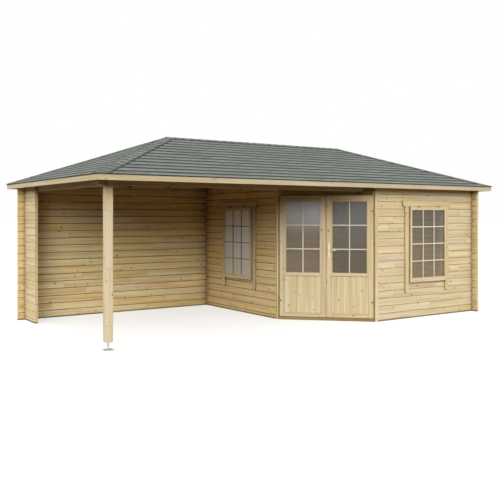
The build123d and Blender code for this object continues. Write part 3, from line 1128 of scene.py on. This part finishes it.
@dataclass
class Roof:
    """Shingle courses, caps and boards on a hipped roof."""

    pitch: float = math.radians(20.25)
    exposure: float = 0.145
    tab_width: float = 0.333
    tab_slot: float = 0.006
    felt: float = 0.003
    underlay: float = 0.0015
    layer_gap: float = 0.0001
    board_cover: float = 0.096
    board_thickness: float = 0.019
    board_joint: float = 0.004
    cap_width: float = 0.12
    cap_exposure: float = 0.145
    cap_lift: float = 0.006
    ridge_overrun: float = 0.024

    def axes(self, slope: Slope, part: str) -> Matrix:
        """Axes on a slope: X along the eave, Y up the slope, Z out of it.

        Args:
            slope: the slope.
            part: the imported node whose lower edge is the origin.

        Returns:
            From these axes to the object's own.
        """
        up = -slope.down * math.cos(self.pitch) + Vector((0, 0, math.sin(self.pitch)))
        out = slope.down * math.sin(self.pitch) + Vector((0, 0, math.cos(self.pitch)))
        eave = slope.down * slope.reach(part)
        eave.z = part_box(slope.node(part))[0].z
        turn = Matrix((up.cross(out), up, out)).transposed().to_4x4()
        return Matrix.Translation(eave) @ turn

    def trim(self, piece: Piece, slope: Slope, part: str) -> None:
        """Cuts a piece along the hips and the ridge round its slope.

        Args:
            piece: the piece.
            slope: its slope.
            part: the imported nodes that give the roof's edges.
        """
        for other in Slope:
            if other is not slope:
                outwards = other.down - slope.down
                apart = other.reach(part) - slope.reach(part)
                Bench.cut(piece, outwards * apart / outwards.length_squared, outwards.normalized())

    def run(self, slope: Slope, part: str) -> tuple[float, float]:
        """Size of a slope.

        Args:
            slope: the slope.
            part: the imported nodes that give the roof's edges.

        Returns:
            Half the length of its eave, and its length up to the ridge.
        """
        side = Slope.RIGHT if slope in (Slope.FRONT, Slope.REAR) else Slope.REAR
        rise = Slope.FRONT.reach(part) / math.cos(self.pitch)
        return side.reach(part), rise

    def tab(self) -> Piece:
        """One shingle tab, with its lower edge on Y = 0 and its head on the felt.

        Returns:
            The piece.
        """
        half = (self.tab_width - self.tab_slot) / 2
        top = (half, 2 * self.exposure, self.felt - self.layer_gap)
        piece = Bench.block("tab", (-half, 0, 0), top)
        with Bench.editing(piece):
            Bench.pick_edges(piece, lambda a, b: max(a.y, b.y) < self.felt and min(a.z, b.z) > 0)
            Bench.soften(self.felt / 3)
        Bench.mark(piece, "lap", [vertex.co.y for vertex in piece.data.vertices])
        lift = self.underlay + 2 * self.felt
        lean = Matrix.Rotation(-math.atan2(self.felt, self.exposure), 4, "X")
        return Bench.settle(piece, Matrix.Translation((0, 0, lift)) @ lean)

    def courses(self, slope: Slope, seed: int) -> Piece:
        """Shingle courses of one slope, over a sheet of felt.

        Args:
            slope: the slope.
            seed: start of the random tones.

        Returns:
            The piece.
        """
        half, rise = self.run(slope, "shingles")
        across = math.ceil(half / self.tab_width) + 1
        courses = math.ceil(rise / self.exposure)
        row = self.tab()
        faces = len(row.data.polygons)
        Bench.settle(row, Matrix.Translation((-across * self.tab_width, 0, 0)))
        Bench.array(row, 2 * across + 1, (self.tab_width, 0, 0))
        twin = Bench.copy(row, (self.tab_width / 2, self.exposure, 0))
        pair = Bench.join("courses", [row, twin])
        Bench.array(pair, math.ceil(courses / 2), (0, 2 * self.exposure, 0))
        Bench.number_copies(pair, faces, "tone", seed)
        sheet = Bench.block("felt", (-half, 0, 0), (half, rise, self.underlay - self.layer_gap))
        piece = Bench.join(slope.node("shingle_courses"), [pair, sheet])
        Bench.settle(piece, self.axes(slope, "shingles"))
        self.trim(piece, slope, "shingles")
        return piece

    def cap_run(self, start: Vector, end: Vector, side: Slope, seed: int) -> Piece:
        """Folded cap shingles along a hip or the ridge.

        Args:
            start, end: lower and upper end of the line.
            side: one of the slopes beside the line.
            seed: start of the random tones.

        Returns:
            The piece.
        """
        along = (end - start).normalized()
        level = along.cross(Vector((0, 0, 1))).normalized()
        out = side.down * math.sin(self.pitch) + Vector((0, 0, math.cos(self.pitch)))
        fall_line = out.cross(along).normalized()
        fall = min(fall_line.angle(level), fall_line.angle(-level))
        wing = Bench.block("cap", (0, 0, 0), (2 * self.cap_exposure, self.cap_width, self.felt))
        corners = [vertex.co for vertex in wing.data.vertices]
        Bench.mark(wing, "lap", [corner.x for corner in corners])
        Bench.mark(wing, "edge", [corner.y / self.cap_width for corner in corners])
        Bench.settle(wing, Matrix.Rotation(-fall, 4, "X"))
        Bench.cut(wing, Vector((0, 0, 0)), Vector((0, -1, 0)), fill=False)
        mirror = wing.modifiers.new("other_wing", "MIRROR")
        mirror.use_axis = (False, True, False)
        mirror.use_clip = True
        mirror.merge_threshold = self.felt
        Bench.apply(wing, mirror)
        lean = Matrix.Rotation(math.atan2(self.felt, self.cap_exposure), 4, "Y")
        Bench.settle(wing, Matrix.Translation((0, 0, 2 * self.felt)) @ lean)
        faces = len(wing.data.polygons)
        count = math.ceil((end - start).length / self.cap_exposure)
        Bench.array(wing, count, (self.cap_exposure, 0, 0))
        Bench.number_copies(wing, faces, "tone", seed)
        upwards = along.cross(-level)
        turn = Matrix((along, -level, upwards)).transposed().to_4x4()
        return Bench.settle(wing, Matrix.Translation(start) @ turn)

    def caps(self) -> Piece:
        """Caps on the four hips and the ridge, cut at the eaves and where they meet.

        Returns:
            The piece.
        """
        reach_x = Slope.RIGHT.reach("shingles")
        reach_y = Slope.REAR.reach("shingles")
        low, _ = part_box("front_shingles")
        corner_z = low.z + self.cap_lift
        ridge_z = corner_z + reach_y * math.tan(self.pitch)
        ridge_half = reach_x - reach_y
        runs = []
        for index, (side_x, side_y) in enumerate(((-1, -1), (1, -1), (1, 1), (-1, 1))):
            start = Vector((side_x * reach_x, side_y * reach_y, corner_z))
            end = Vector((side_x * ridge_half, 0, ridge_z))
            side = Slope.FRONT if side_y < 0 else Slope.REAR
            hip = self.cap_run(start, end, side, index)
            for point, sign in ((start, 1), (end, -1)):
                Bench.cut(hip, point, Vector((sign * side_x, 0, 0)))
                Bench.cut(hip, point, Vector((0, sign * side_y, 0)))
            runs.append(hip)
        end = Vector((ridge_half + self.ridge_overrun, 0, ridge_z))
        start = Vector((-end.x, 0, ridge_z))
        ridge = self.cap_run(start, end, Slope.FRONT, len(runs))
        Bench.cut(ridge, end, Vector((1, 0, 0)))
        return Bench.join("ridge_and_hip_cap_shingles", [*runs, ridge])

    def boards(self, slope: Slope, seed: int) -> Piece:
        """Tongued boards of one slope, seen from below, with a chamfer at each joint.

        Args:
            slope: the slope.
            seed: start of the random tones.

        Returns:
            The piece.
        """
        half, rise = self.run(slope, "roof_boards")
        board = Bench.boarding(
            (-half, 0, 0),
            (half, self.board_cover - self.layer_gap, self.board_thickness),
            lambda a, b: max(a.z, b.z) < self.felt and abs(a.y - b.y) < self.felt,
            self.board_joint,
            math.ceil(rise / self.board_cover),
            (0, self.board_cover, 0),
            seed,
        )
        Bench.settle(board, self.axes(slope, "roof_boards"))
        self.trim(board, slope, "roof_boards")
        board.name = slope.node("tongued_boards")
        return board

    def build(self, grit: Material, cap_grit: Material, pine: dict[Slope, Material]) -> None:
        """Builds the covering and the boards of all slopes.

        Args:
            grit: finish of the shingles.
            cap_grit: finish of the ridge and hip caps.
            pine: finish of the boards, by slope.
        """
        for seed, slope in enumerate(Slope):
            courses = self.courses(slope, seed)
            report(courses, "cabin", "shingles", grit, slope.node("shingles"))
            boards = self.boards(slope, seed + len(Slope))
            report(boards, "cabin", "roof_boards", pine[slope], slope.node("roof_boards"))
        report(self.caps(), "cabin", "shingles", cap_grit, "ridge_and_hip_caps")


@dataclass
class Window:
    """Glazing bars, beads and hinges of one fixed window."""

    name: str
    place: Place
    glass: Piece
    sash: Piece
    columns: int = 3
    rows: int = 4
    bar_width: float = 0.016
    bar_depth: float = 0.011
    rebate: float = 0.0078
    bead_width: float = 0.005
    ease: float = 0.0015
    hinge_share: float = 0.55
    hinge_length: float = 0.075
    hinge_radius: float = 0.006
    casing_tone: float = 0.02
    casing_seed: float = 10.0

    def sight(self) -> tuple[Vector, Vector]:
        """Size of the glass inside its rebate.

        Returns:
            Its lowest and highest corner in the window's axes.
        """
        low, high = self.place.box(self.glass)
        inset = Vector((self.rebate, 0, self.rebate))
        return low + inset, high - inset

    def bars(self) -> Piece:
        """Bars on the glass: upright ones run through and level ones lie between them.

        Returns:
            The piece.
        """
        low, high = self.sight()
        front = low.y - self.bar_depth
        wide = (high.x - low.x) / self.columns
        tall = (high.z - low.z) / self.rows
        half = self.bar_width / 2
        spans = []
        for column in range(1, self.columns):
            x = low.x + column * wide
            spans.append((x - half, low.z, x + half, high.z))
        for row in range(1, self.rows):
            z = low.z + row * tall
            for column in range(self.columns):
                left = low.x + column * wide + (half if column else 0)
                right = low.x + (column + 1) * wide - (half if column < self.columns - 1 else 0)
                spans.append((left, z - half, right, z + half))
        pieces = [
            Bench.block("bar", (left, front, foot), (right, low.y, top), self.ease)
            for left, foot, right, top in spans
        ]
        piece = Bench.join(f"{self.name}_bars", pieces)
        return Bench.settle(piece, self.place.matrix)

    def bead(self) -> Piece:
        """Bead round the glass."""
        section = (self.bar_depth, self.bead_width, self.ease)
        return self.place.bead(f"{self.name}_bead", self.sight(), *section)

    def hinges(self) -> Piece:
        """Two barrel hinges along the top of the sash.

        Returns:
            The piece.
        """
        low, high = self.place.box(self.sash)
        middle = (low.x + high.x) / 2
        apart = (high.x - low.x) * self.hinge_share / 2
        pieces = []
        for side in (-1, 1):
            x = middle + side * apart
            start = (x - self.hinge_length / 2, low.y, high.z)
            end = (x + self.hinge_length / 2, low.y, high.z)
            pieces.append(Bench.rod("hinge", start, end, self.hinge_radius, self.ease / 2))
        piece = Bench.join(f"{self.name}_hinges", pieces)
        return Bench.settle(piece, self.place.matrix)

    def dress_frame(
        self, casing: Piece, grain: Grain, seed: float, crevice: Colour, corner_reach: float
    ) -> None:
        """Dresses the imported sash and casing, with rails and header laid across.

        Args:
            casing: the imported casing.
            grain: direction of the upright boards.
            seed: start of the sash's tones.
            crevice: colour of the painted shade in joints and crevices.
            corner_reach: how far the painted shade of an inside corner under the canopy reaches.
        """
        low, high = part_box(f"{self.name}_glass")
        axis = grain.value[1][1]
        # Painted shade in the frame's crevices and, under the canopy, its inside corners.
        painted_shade = {"crevice": crevice, "corner_reach": corner_reach}
        rails = {
            "rail_middle": (low[axis] + high[axis]) / 2,
            "rail_half": (high[axis] - low[axis]) / 2 - self.rebate,
        }
        dress(self.sash, PineFinish(f"{self.name}_sash", grain, seed, **rails, **painted_shade).build())
        header = {"head_level": self.place.box(self.sash)[1].z, "tone": self.casing_tone}
        boards = PineFinish(
            f"{self.name}_casing", grain, seed + self.casing_seed, **header, **painted_shade
        )
        dress(casing, boards.build())

    def build(self, bars: Material, pine: Material, steel: Material) -> None:
        """Builds and dresses the window's own pieces.

        Args:
            bars: finish of the bars.
            pine: finish of the bead.
            steel: finish of the hinges.
        """
        report(self.bars(), "cabin", "joinery", bars)
        report(self.bead(), "cabin", "joinery", pine)
        report(self.hinges(), "cabin", "hardware", steel)


@dataclass
class DoorLeaf:
    """Bars, beads and panel boards of one door leaf."""

    side: str
    place: Place
    glass: Piece
    panel: Piece
    columns: int = 2
    rows: int = 3
    board_count: int = 6
    board_joint: float = 0.004
    board_gap: float = 0.0003
    panel_tongue: float = 0.026
    panel_bead: float = 0.008
    panel_bead_depth: float = 0.007
    ease: float = 0.003

    def boards(self, seed: int) -> Piece:
        """Upright boards of the lower panel, chamfered at their joints.

        Args:
            seed: start of the random tones.

        Returns:
            The piece.
        """
        low, high = self.place.box(self.panel)
        width = (high.x - low.x) / self.board_count
        board = Bench.boarding(
            low,
            (low.x + width - self.board_gap, high.y, high.z),
            lambda a, b: abs(a.z - b.z) > width,
            self.board_joint,
            self.board_count,
            (width, 0, 0),
            seed,
        )
        board.name = f"{self.side}_door_panel_boards"
        return Bench.settle(board, self.place.matrix)

    def panel_frame(self) -> Piece:
        """Bead round the lower panel."""
        section = (self.panel_bead_depth, self.panel_bead, self.ease)
        return self.place.bead(f"{self.side}_door_panel_bead", self.place.box(self.panel), *section)

    def dress_frame(self, frame: Piece, seed: float, crevice: Colour) -> None:
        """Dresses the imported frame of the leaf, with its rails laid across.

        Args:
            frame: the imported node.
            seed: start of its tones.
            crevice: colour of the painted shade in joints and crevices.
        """
        low, high = self.place.box(self.panel)
        origin = self.place.origin
        rails = {
            "rail_middle": (low.x + high.x) / 2 + (origin.x - origin.y) / math.sqrt(2),
            "rail_half": (high.x - low.x) / 2 - self.panel_tongue,
        }
        name = f"{self.side}_door_frame"
        finish = PineFinish(name, Grain.UPRIGHT_DOORS, seed, crevice=crevice, **rails)
        dress(frame, finish.build())

    def build(self, bars: Material, pine: Material, boards: Material, seed: int) -> None:
        """Builds and dresses the leaf's own pieces.

        Args:
            bars: finish of the bars.
            pine: finish of the beads.
            boards: finish of the panel boards.
            seed: start of the random tones.
        """
        body = f"{self.side}_door"
        panes = (self.columns, self.rows)
        lights = Window(body, self.place, self.glass, self.glass, *panes)
        report(lights.bars(), body, "joinery", bars)
        report(lights.bead(), body, "joinery", pine)
        report(self.boards(seed), body, "joinery", boards, f"{self.side}_door_panel")
        report(self.panel_frame(), body, "joinery", pine)


@dataclass
class CabinFloor:
    """Boards of the cabin's floor, cut along the door sill."""

    cover: float = 0.114
    joint: float = 0.0015
    gap: float = 0.00015
    sill_gap: float = 0.0003
    seed: int = 31

    def build(self, door: Place, sill: Piece, pine: Material) -> None:
        """Builds and dresses the floor.

        Args:
            door: axes of the doors.
            sill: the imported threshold.
            pine: finish of the boards.
        """
        low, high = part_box("floor_boards")
        board = Bench.boarding(
            low,
            (high.x, low.y + self.cover - self.gap, high.z),
            lambda a, b: min(a.z, b.z) > low.z and abs(a.x - b.x) > self.cover,
            self.joint,
            math.ceil((high.y - low.y) / self.cover),
            (0, self.cover, 0),
            self.seed,
        )
        Bench.cut(board, high, Vector((0, 1, 0)))
        back = door.box(sill)[1].y + self.sill_gap
        inwards = door.matrix.to_3x3() @ Vector((0, 1, 0))
        Bench.cut(board, door.matrix @ Vector((0, back, 0)), -inwards)
        board.name = "cabin_floor_planks"
        report(board, "cabin", "floor", pine, "floor_boards")


@dataclass
class Fixings:
    """Screw heads on the fascia and the window casings."""

    radius: float = 0.0042
    height: float = 0.0016
    recess: float = 0.0018
    spacing: float = 0.6
    fascia_rows: float = 0.020
    casing_half: float = 0.038
    casing_levels: tuple[float, ...] = (0.48, 0.92, 1.36, 1.70)

    def head(self) -> Piece:
        """One screw head on the plane Y = 0, facing -Y, with a driver recess.

        Returns:
            The piece.
        """
        piece = Bench.rod("screw", (0, 0, 0), (0, -self.height, 0), self.radius, self.height / 3)
        with Bench.editing(piece):
            bpy.ops.mesh.select_mode(type="FACE")
            bpy.ops.mesh.select_all(action="DESELECT")
            mesh = bmesh.from_edit_mesh(piece.data)
            for face in mesh.faces:
                face.select_set(face.normal.y < -0.9)
            bmesh.update_edit_mesh(piece.data)
            bpy.ops.mesh.inset(thickness=self.radius - self.recess, depth=0)
            sink = {"value": (0, self.height / 2, 0)}
            bpy.ops.mesh.extrude_region_move(TRANSFORM_OT_translate=sink)
        return piece

    def spread(self, name: str, places: Sequence[Matrix]) -> Piece:
        """Copies of one screw head, joined.

        Args:
            name: the piece's name.
            places: where each head goes.

        Returns:
            The piece.
        """
        head = self.head()
        copies = [Bench.settle(Bench.copy(head, (0, 0, 0)), place) for place in places]
        bpy.data.objects.remove(head)
        return Bench.join(name, copies)

    def fascia(self) -> Piece:
        """Pairs of screws along the four fascia boards.

        Returns:
            The piece.
        """
        places = []
        for slope in Slope:
            low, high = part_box(slope.node("fascia"))
            face = slope.reach("fascia")
            turn = math.atan2(slope.down.y, slope.down.x) + math.pi / 2
            length = max(high.x - low.x, high.y - low.y)
            count = math.floor(length / self.spacing)
            for index in range(count):
                along = (index + 0.5 - count / 2) * self.spacing
                for row in (-1, 1):
                    level = (low.z + high.z) / 2 + row * self.fascia_rows
                    spot = Matrix.Translation((along, -face, level))
                    places.append(Matrix.Rotation(turn, 4, "Z") @ spot)
        return self.spread("fascia_screws", places)

    def casing(self, name: str, place: Place, casing: Piece, sash: Piece) -> Piece:
        """Screws up both boards of a window casing.

        Args:
            name: the piece's name.
            place: axes of the window.
            casing, sash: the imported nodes.

        Returns:
            The piece.
        """
        low, high = place.box(sash)
        face = place.box(casing)[0].y
        sides = (low.x - self.casing_half, high.x + self.casing_half)
        spots = [Vector((x, face, z)) for x in sides for z in self.casing_levels]
        return self.spread(name, [place.matrix @ Matrix.Translation(spot) for spot in spots])


@dataclass
class Studio:
    """Pale floor, soft light and the camera."""

    eye: Vector = Vector((-6.592, -9.462, 1.616))
    heading: float = math.radians(-34.18)
    lens: float = 51.18
    shift: float = -0.0697
    floor_size: float = 400.0
    belt: Triple = (0.04, 0.28, 0.7)
    belt_light: float = 3.5
    zenith: float = 1.0
    sun: float = 0.85
    sun_angle: float = math.radians(30)
    sun_height: float = math.radians(20)
    sun_heading: float = math.radians(-36)
    floor_glow: float = 0.6
    floor_seen: Colour = srgb(184, 181, 175)
    floor_bounce: Colour = srgb(78, 63, 48)

    def background_rays(self, g: Graph) -> Socket:
        """Rays that show the background itself.

        Args:
            g: the tree of the floor or the sky.

        Returns:
            One for such a ray, and zero for one that carries light.
        """
        path = g.add("ShaderNodeLightPath")
        seen = g.math("MAXIMUM", path.outputs["Is Camera Ray"], path.outputs["Is Glossy Ray"])
        return g.math("MAXIMUM", seen, path.outputs["Is Transmission Ray"])

    def floor(self) -> None:
        """White floor that keeps a soft shadow."""
        Bench.clear()
        bpy.ops.mesh.primitive_plane_add(size=self.floor_size, location=(0, 0, 0))
        plane = bpy.context.object
        plane.name = "studio_floor"
        plane.visible_shadow = False
        g = Graph(bpy.data.materials.new("studio_floor"))
        seen = self.background_rays(g)
        colour = g.mix(seen, self.floor_bounce, self.floor_seen)
        diffuse = g.add("ShaderNodeBsdfDiffuse", {"Color": colour})
        glow = g.add("ShaderNodeEmission", {"Strength": g.times(seen, self.floor_glow)})
        both = g.add("ShaderNodeAddShader", {0: diffuse.outputs[0], 1: glow.outputs[0]})
        g.add("ShaderNodeOutputMaterial", {"Surface": both.outputs[0]})
        dress(plane, g.owner)

    def light(self) -> None:
        """Sky that is brightest a little above the horizon, and one broad faint sun."""
        world = bpy.data.worlds.new("studio_sky")
        bpy.context.scene.world = world
        g = Graph(world)
        direction = g.add("ShaderNodeTexCoord").outputs["Generated"]
        height = g.split(direction)[2]
        start, peak, end = self.belt
        rising = g.times(g.rise(height, start, peak), self.belt_light)
        falling = g.times(g.rise(height, peak, end), self.zenith - self.belt_light)
        strength = g.plus(rising, falling)
        sky = g.add("ShaderNodeBackground", {"Color": (1, 1, 1, 1), "Strength": strength})
        seen = g.add("ShaderNodeBackground", {"Color": (1, 1, 1, 1), "Strength": 1.0})
        feeds = {0: self.background_rays(g), 1: sky.outputs[0], 2: seen.outputs[0]}
        both = g.add("ShaderNodeMixShader", feeds)
        g.add("ShaderNodeOutputWorld", {"Surface": both.outputs[0]})
        lamp = bpy.data.lights.new("sun", "SUN")
        lamp.energy = self.sun
        lamp.angle = self.sun_angle
        sun = bpy.data.objects.new("sun", lamp)
        sun.rotation_euler = (math.pi / 2 - self.sun_height, 0, self.sun_heading)
        bpy.context.collection.objects.link(sun)

    def camera(self) -> None:
        """Level camera at the front left."""
        data = bpy.data.cameras.new("camera")
        data.lens = self.lens
        data.shift_y = self.shift
        data.clip_end = self.floor_size
        camera = bpy.data.objects.new("camera", data)
        camera.location = self.eye
        camera.rotation_euler = (math.pi / 2, 0, self.heading)
        bpy.context.collection.objects.link(camera)
        bpy.context.scene.camera = camera

    def build(self) -> None:
        """Sets up the stage."""
        bpy.context.scene.view_settings.view_transform = "Standard"
        self.floor()
        self.light()
        self.camera()


@dataclass
class Timbers:
    """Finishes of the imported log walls, trim and frame."""

    log_pitch: float = 0.114
    log_length: float = 1.15
    # Height of the painted contact shadow at the walls' foot.
    foot_shade_height: float = 0.03

    def build(self, nodes: dict[str, Piece]) -> None:
        """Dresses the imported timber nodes.

        Args:
            nodes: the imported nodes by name.
        """
        rows = {"pitch": self.log_pitch, "stock_length": self.log_length, "foot_shade": self.foot_shade_height}
        cross = {**rows, "first_joint": self.log_pitch / 2}
        # Lit copy for walls in the light: thinner joints and lighter painted crevice shade.
        lit_cross = {**cross, "joint_half": 0.0022, "crevice": srgb(165, 140, 105), "tone": 0.03}
        # Painted shade under the canopy: wider joint lines and a broad painted shade in inside
        # corners.
        canopy_shade_marks = {"joint_half": 0.0056, "corner_reach": 0.4}
        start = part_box("end_return_wall")[1].x
        # Painted light: warmer, more saturated copies of the log colours stand in for bounced light
        # in the canopy's shade.
        golden = shades((240, 219, 170), (217, 190, 132), shelter_start=start, **canopy_shade_marks, **rows)
        warm = shades((240, 213, 158), (214, 182, 120), tone=0.03, **canopy_shade_marks, **cross)
        # Painted shade: darker copies of the log colours and crevices for the header logs under the
        # eave.
        dark = {"crevice": srgb(66, 48, 30), "corner_reach": 0.3}
        shadowed = shades((190, 174, 136), (168, 148, 104), **dark, **rows)
        # The threshold's own dark hardwood colour; on the door head the same colours are painted
        # shade under the eave.
        oiled_sill_and_shaded_head = shades((168, 148, 102), (146, 124, 80), late=srgb(120, 94, 56))
        sill = {**oiled_sill_and_shaded_head, "knot_share": 0.1}
        aged = shades((198, 187, 158), (184, 169, 136), stock_length=1.9, tone=0.025)
        planed = shades((218, 203, 172), (203, 186, 151), tone=0.014)
        post = {**planed, "stock_length": 0.69, "first_butt": 0.29}
        for name, grain, seed, looks, parts in (
            ("long_logs", Grain.ALONG_X, 1.0, rows, "cabin_front_wall"),
            ("cross_logs", Grain.ALONG_Y, 2.0, lit_cross, "end_return_wall cabin_right_wall"),
            ("long_logs_painted_shade", Grain.ALONG_X, 25.0, golden, "rear_wall"),
            ("cross_logs_painted_shade", Grain.ALONG_Y, 26.0, warm, "cabin_left_wall"),
            ("door_logs_painted_shade", Grain.ALONG_DOORS, 3.0, shadowed, "door_header_wall"),
            ("upright_timber", Grain.UPRIGHT, 4.0, {}, "front_window_lining side_window_lining"),
            ("upright_door_timber", Grain.UPRIGHT_DOORS, 5.0, {}, "corner_posts door_jambs"),
            ("head_timber_painted_shade", Grain.ALONG_DOORS, 6.0, oiled_sill_and_shaded_head, "door_head"),
            ("sill_timber", Grain.ALONG_DOORS, 10.0, sill, "door_threshold"),
            ("long_trim", Grain.ALONG_X, 7.0, {}, "front_beam ridge_beam"),
            ("cross_trim", Grain.ALONG_Y, 8.0, {}, "side_beam floor_bearers rafters"),
            ("long_fascia", Grain.ALONG_X, 22.0, aged, "front_fascia rear_fascia"),
            ("cross_fascia", Grain.ALONG_Y, 23.0, aged, "left_fascia right_fascia"),
            ("post_timber", Grain.UPRIGHT, 9.0, post, "canopy_post"),
        ):
            material = PineFinish(name, grain, seed, **looks).build()
            for part in parts.split():
                dress(nodes[part], material)


class Fittings:
    """Finishes of metal and glass."""

    def build(self, nodes: dict[str, Piece]) -> dict[str, Material]:
        """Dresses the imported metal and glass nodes.

        Args:
            nodes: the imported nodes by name.

        Returns:
            The materials by name.
        """
        metal, glass = MetalFinish, GlassFinish
        brushed = {"rough": 0.36, "stretch": (40.0, 40.0, 900.0), "metallic": 1.0}
        worn = {"rough": 0.45}
        coat = {"stretch": (90.0, 90.0, 90.0), "metallic": 0.55}
        # Painted reflection and light: each glass has its own colours and opaque share, the left
        # leaf lighter at the head against the eave's shade.
        left = {"painted_reflection": 0.55, "foot": 1.25, "head": 1.75}
        right = {"painted_reflection": 0.55, "foot": 0.9, "head": 1.7}
        front = {"painted_reflection": 0.38}
        # The side window's glass is nearly opaque white, a painted reflection in the canopy's
        # shade.
        side = {"painted_reflection": 0.97}
        hinges = "frame_hinges left_door_hinges right_door_hinges"
        materials = {}
        for kind, name, first, second, looks, parts in (
            (metal, "satin_steel", (216, 203, 178), (194, 180, 152), brushed, "door_handles"),
            (metal, "dark_steel", (86, 74, 58), (62, 52, 40), {}, ""),
            (metal, "hinge_steel", (164, 140, 98), (132, 110, 74), worn, hinges),
            (metal, "zinc_coat", (214, 214, 210), (176, 178, 176), coat, "post_foot"),
            (glass, "left_door_glass", (226, 229, 232), (142, 126, 101), left, "left_door_glass"),
            (glass, "right_door_glass", (130, 130, 127), (116, 104, 86), right, "right_door_glass"),
            (glass, "front_glass", (134, 124, 112), (160, 142, 112), front, "front_window_glass"),
            (glass, "side_glass_painted_light", (255, 255, 255), (214, 205, 188), side, "side_window_glass"),
        ):
            materials[name] = kind(name, srgb(*first), srgb(*second), **looks).build()
            for part in parts.split():
                dress(nodes[part], materials[name])
        return materials


@dataclass
class Joinery:
    """Door leaves and windows, with the finishes that they share."""

    nodes: dict[str, Piece]
    door: Place
    metals: dict[str, Material]
    # Light painted shade for the crevices of doors, windows and panels.
    soft: Colour = srgb(172, 150, 116)
    leaf_seed: float = 15.0
    board_seed: int = 20
    few_knots: float = 0.03
    # Reach of the painted shade in the side window's corners under the canopy.
    shelter: float = 0.4

    def doors(self, bars: Material, bead: Material) -> None:
        """Builds and dresses both leaves.

        Args:
            bars: finish of the glazing bars.
            bead: finish of the beads.
        """
        smooth = shades((227, 213, 176), (204, 185, 139), crevice=self.soft, tone=0.02)
        smooth["board_attribute"] = "board"
        boards = PineFinish("panel_boards", Grain.UPRIGHT_DOORS, 14.0, **smooth).build()
        for index, side in enumerate(("left", "right")):
            glass, panel, frame = (
                self.nodes[f"{side}_door_{part}"] for part in ("glass", "panel", "frame")
            )
            leaf = DoorLeaf(side, self.door, glass, panel)
            leaf.dress_frame(frame, self.leaf_seed + index, self.soft)
            leaf.build(bars, bead, boards, self.board_seed + index)

    def windows(self, bars: Material, shaded_bars: Material, bead: Material) -> None:
        """Builds and dresses both windows.

        Args:
            bars, shaded_bars: finishes of the front and the side window's bars.
            bead: finish of the beads.
        """
        for name, turn, grain, seed, reach, sticks in (
            ("front_window", 0.0, Grain.UPRIGHT, 17.0, 0.0, bars),
            ("side_window", -math.pi / 2, Grain.UPRIGHT_SIDE, 18.0, self.shelter, shaded_bars),
        ):
            glass, sash, casing = (
                self.nodes[f"{name}_{part}"] for part in ("glass", "sash", "casing")
            )
            place = Place(Vector((0, 0, 0)), turn)
            window = Window(name, place, glass, sash)
            window.dress_frame(casing, grain, seed, self.soft, reach)
            window.build(sticks, bead, self.metals["dark_steel"])
            screws = Fixings().casing(f"{name}_casing_screws", place, casing, sash)
            report(screws, "cabin", "hardware", self.metals["zinc_coat"])

    def build(self) -> None:
        """Builds doors and windows."""
        cream = shades((236, 226, 204), (226, 212, 182))
        # Painted shade: brown, darker bars for the side window in the canopy's shade.
        brown = shades((152, 144, 128), (132, 124, 108), late=srgb(114, 105, 88))
        bars, bead, shaded_bars = (
            PineFinish(name, Grain.UPRIGHT, seed, knot_share=self.few_knots, **looks).build()
            for name, seed, looks in (
                ("pale_bars", 13.0, cream),
                ("beads", 21.0, {}),
                ("shaded_bars", 24.0, brown),
            )
        )
        self.doors(bars, bead)
        self.windows(bars, shaded_bars, bead)


def main() -> None:
    """Builds the cabin's looks and the stage."""
    logging.basicConfig(level=logging.INFO, format="%(name)s: %(message)s")
    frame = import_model()
    nodes = frame["nodes"]

    left, right = (Vector(joint["pos_m"]) for joint in frame["joints"])
    run = right - left
    turn = math.atan2(run.y, run.x)
    door = Place(Vector(((left.x + right.x) / 2, (left.y + right.y) / 2, 0)), turn)

    Timbers().build(nodes)
    metals = Fittings().build(nodes)
    grit = ShingleFinish("mineral_felt", Roof.exposure).build()
    cap_grit = ShingleFinish("cap_felt", Roof.cap_exposure, course_shadow_share=0.55).build()
    long_boards, cross_boards, planks = (
        PineFinish(name, grain, seed, board_attribute="board").build()
        for name, grain, seed in (
            ("roof_boards_long", Grain.ALONG_X, 11.0),
            ("roof_boards_cross", Grain.ALONG_Y, 12.0),
            ("floor_planks", Grain.ALONG_X, 19.0),
        )
    )
    pine = {slope: cross_boards if slope.down.x else long_boards for slope in Slope}
    Roof().build(grit, cap_grit, pine)
    Joinery(nodes, door, metals).build()
    report(Fixings().fascia(), "cabin", "hardware", metals["zinc_coat"])
    CabinFloor().build(door, nodes["door_threshold"], planks)
    Studio().build()


if __name__ == "__main__":
    main()
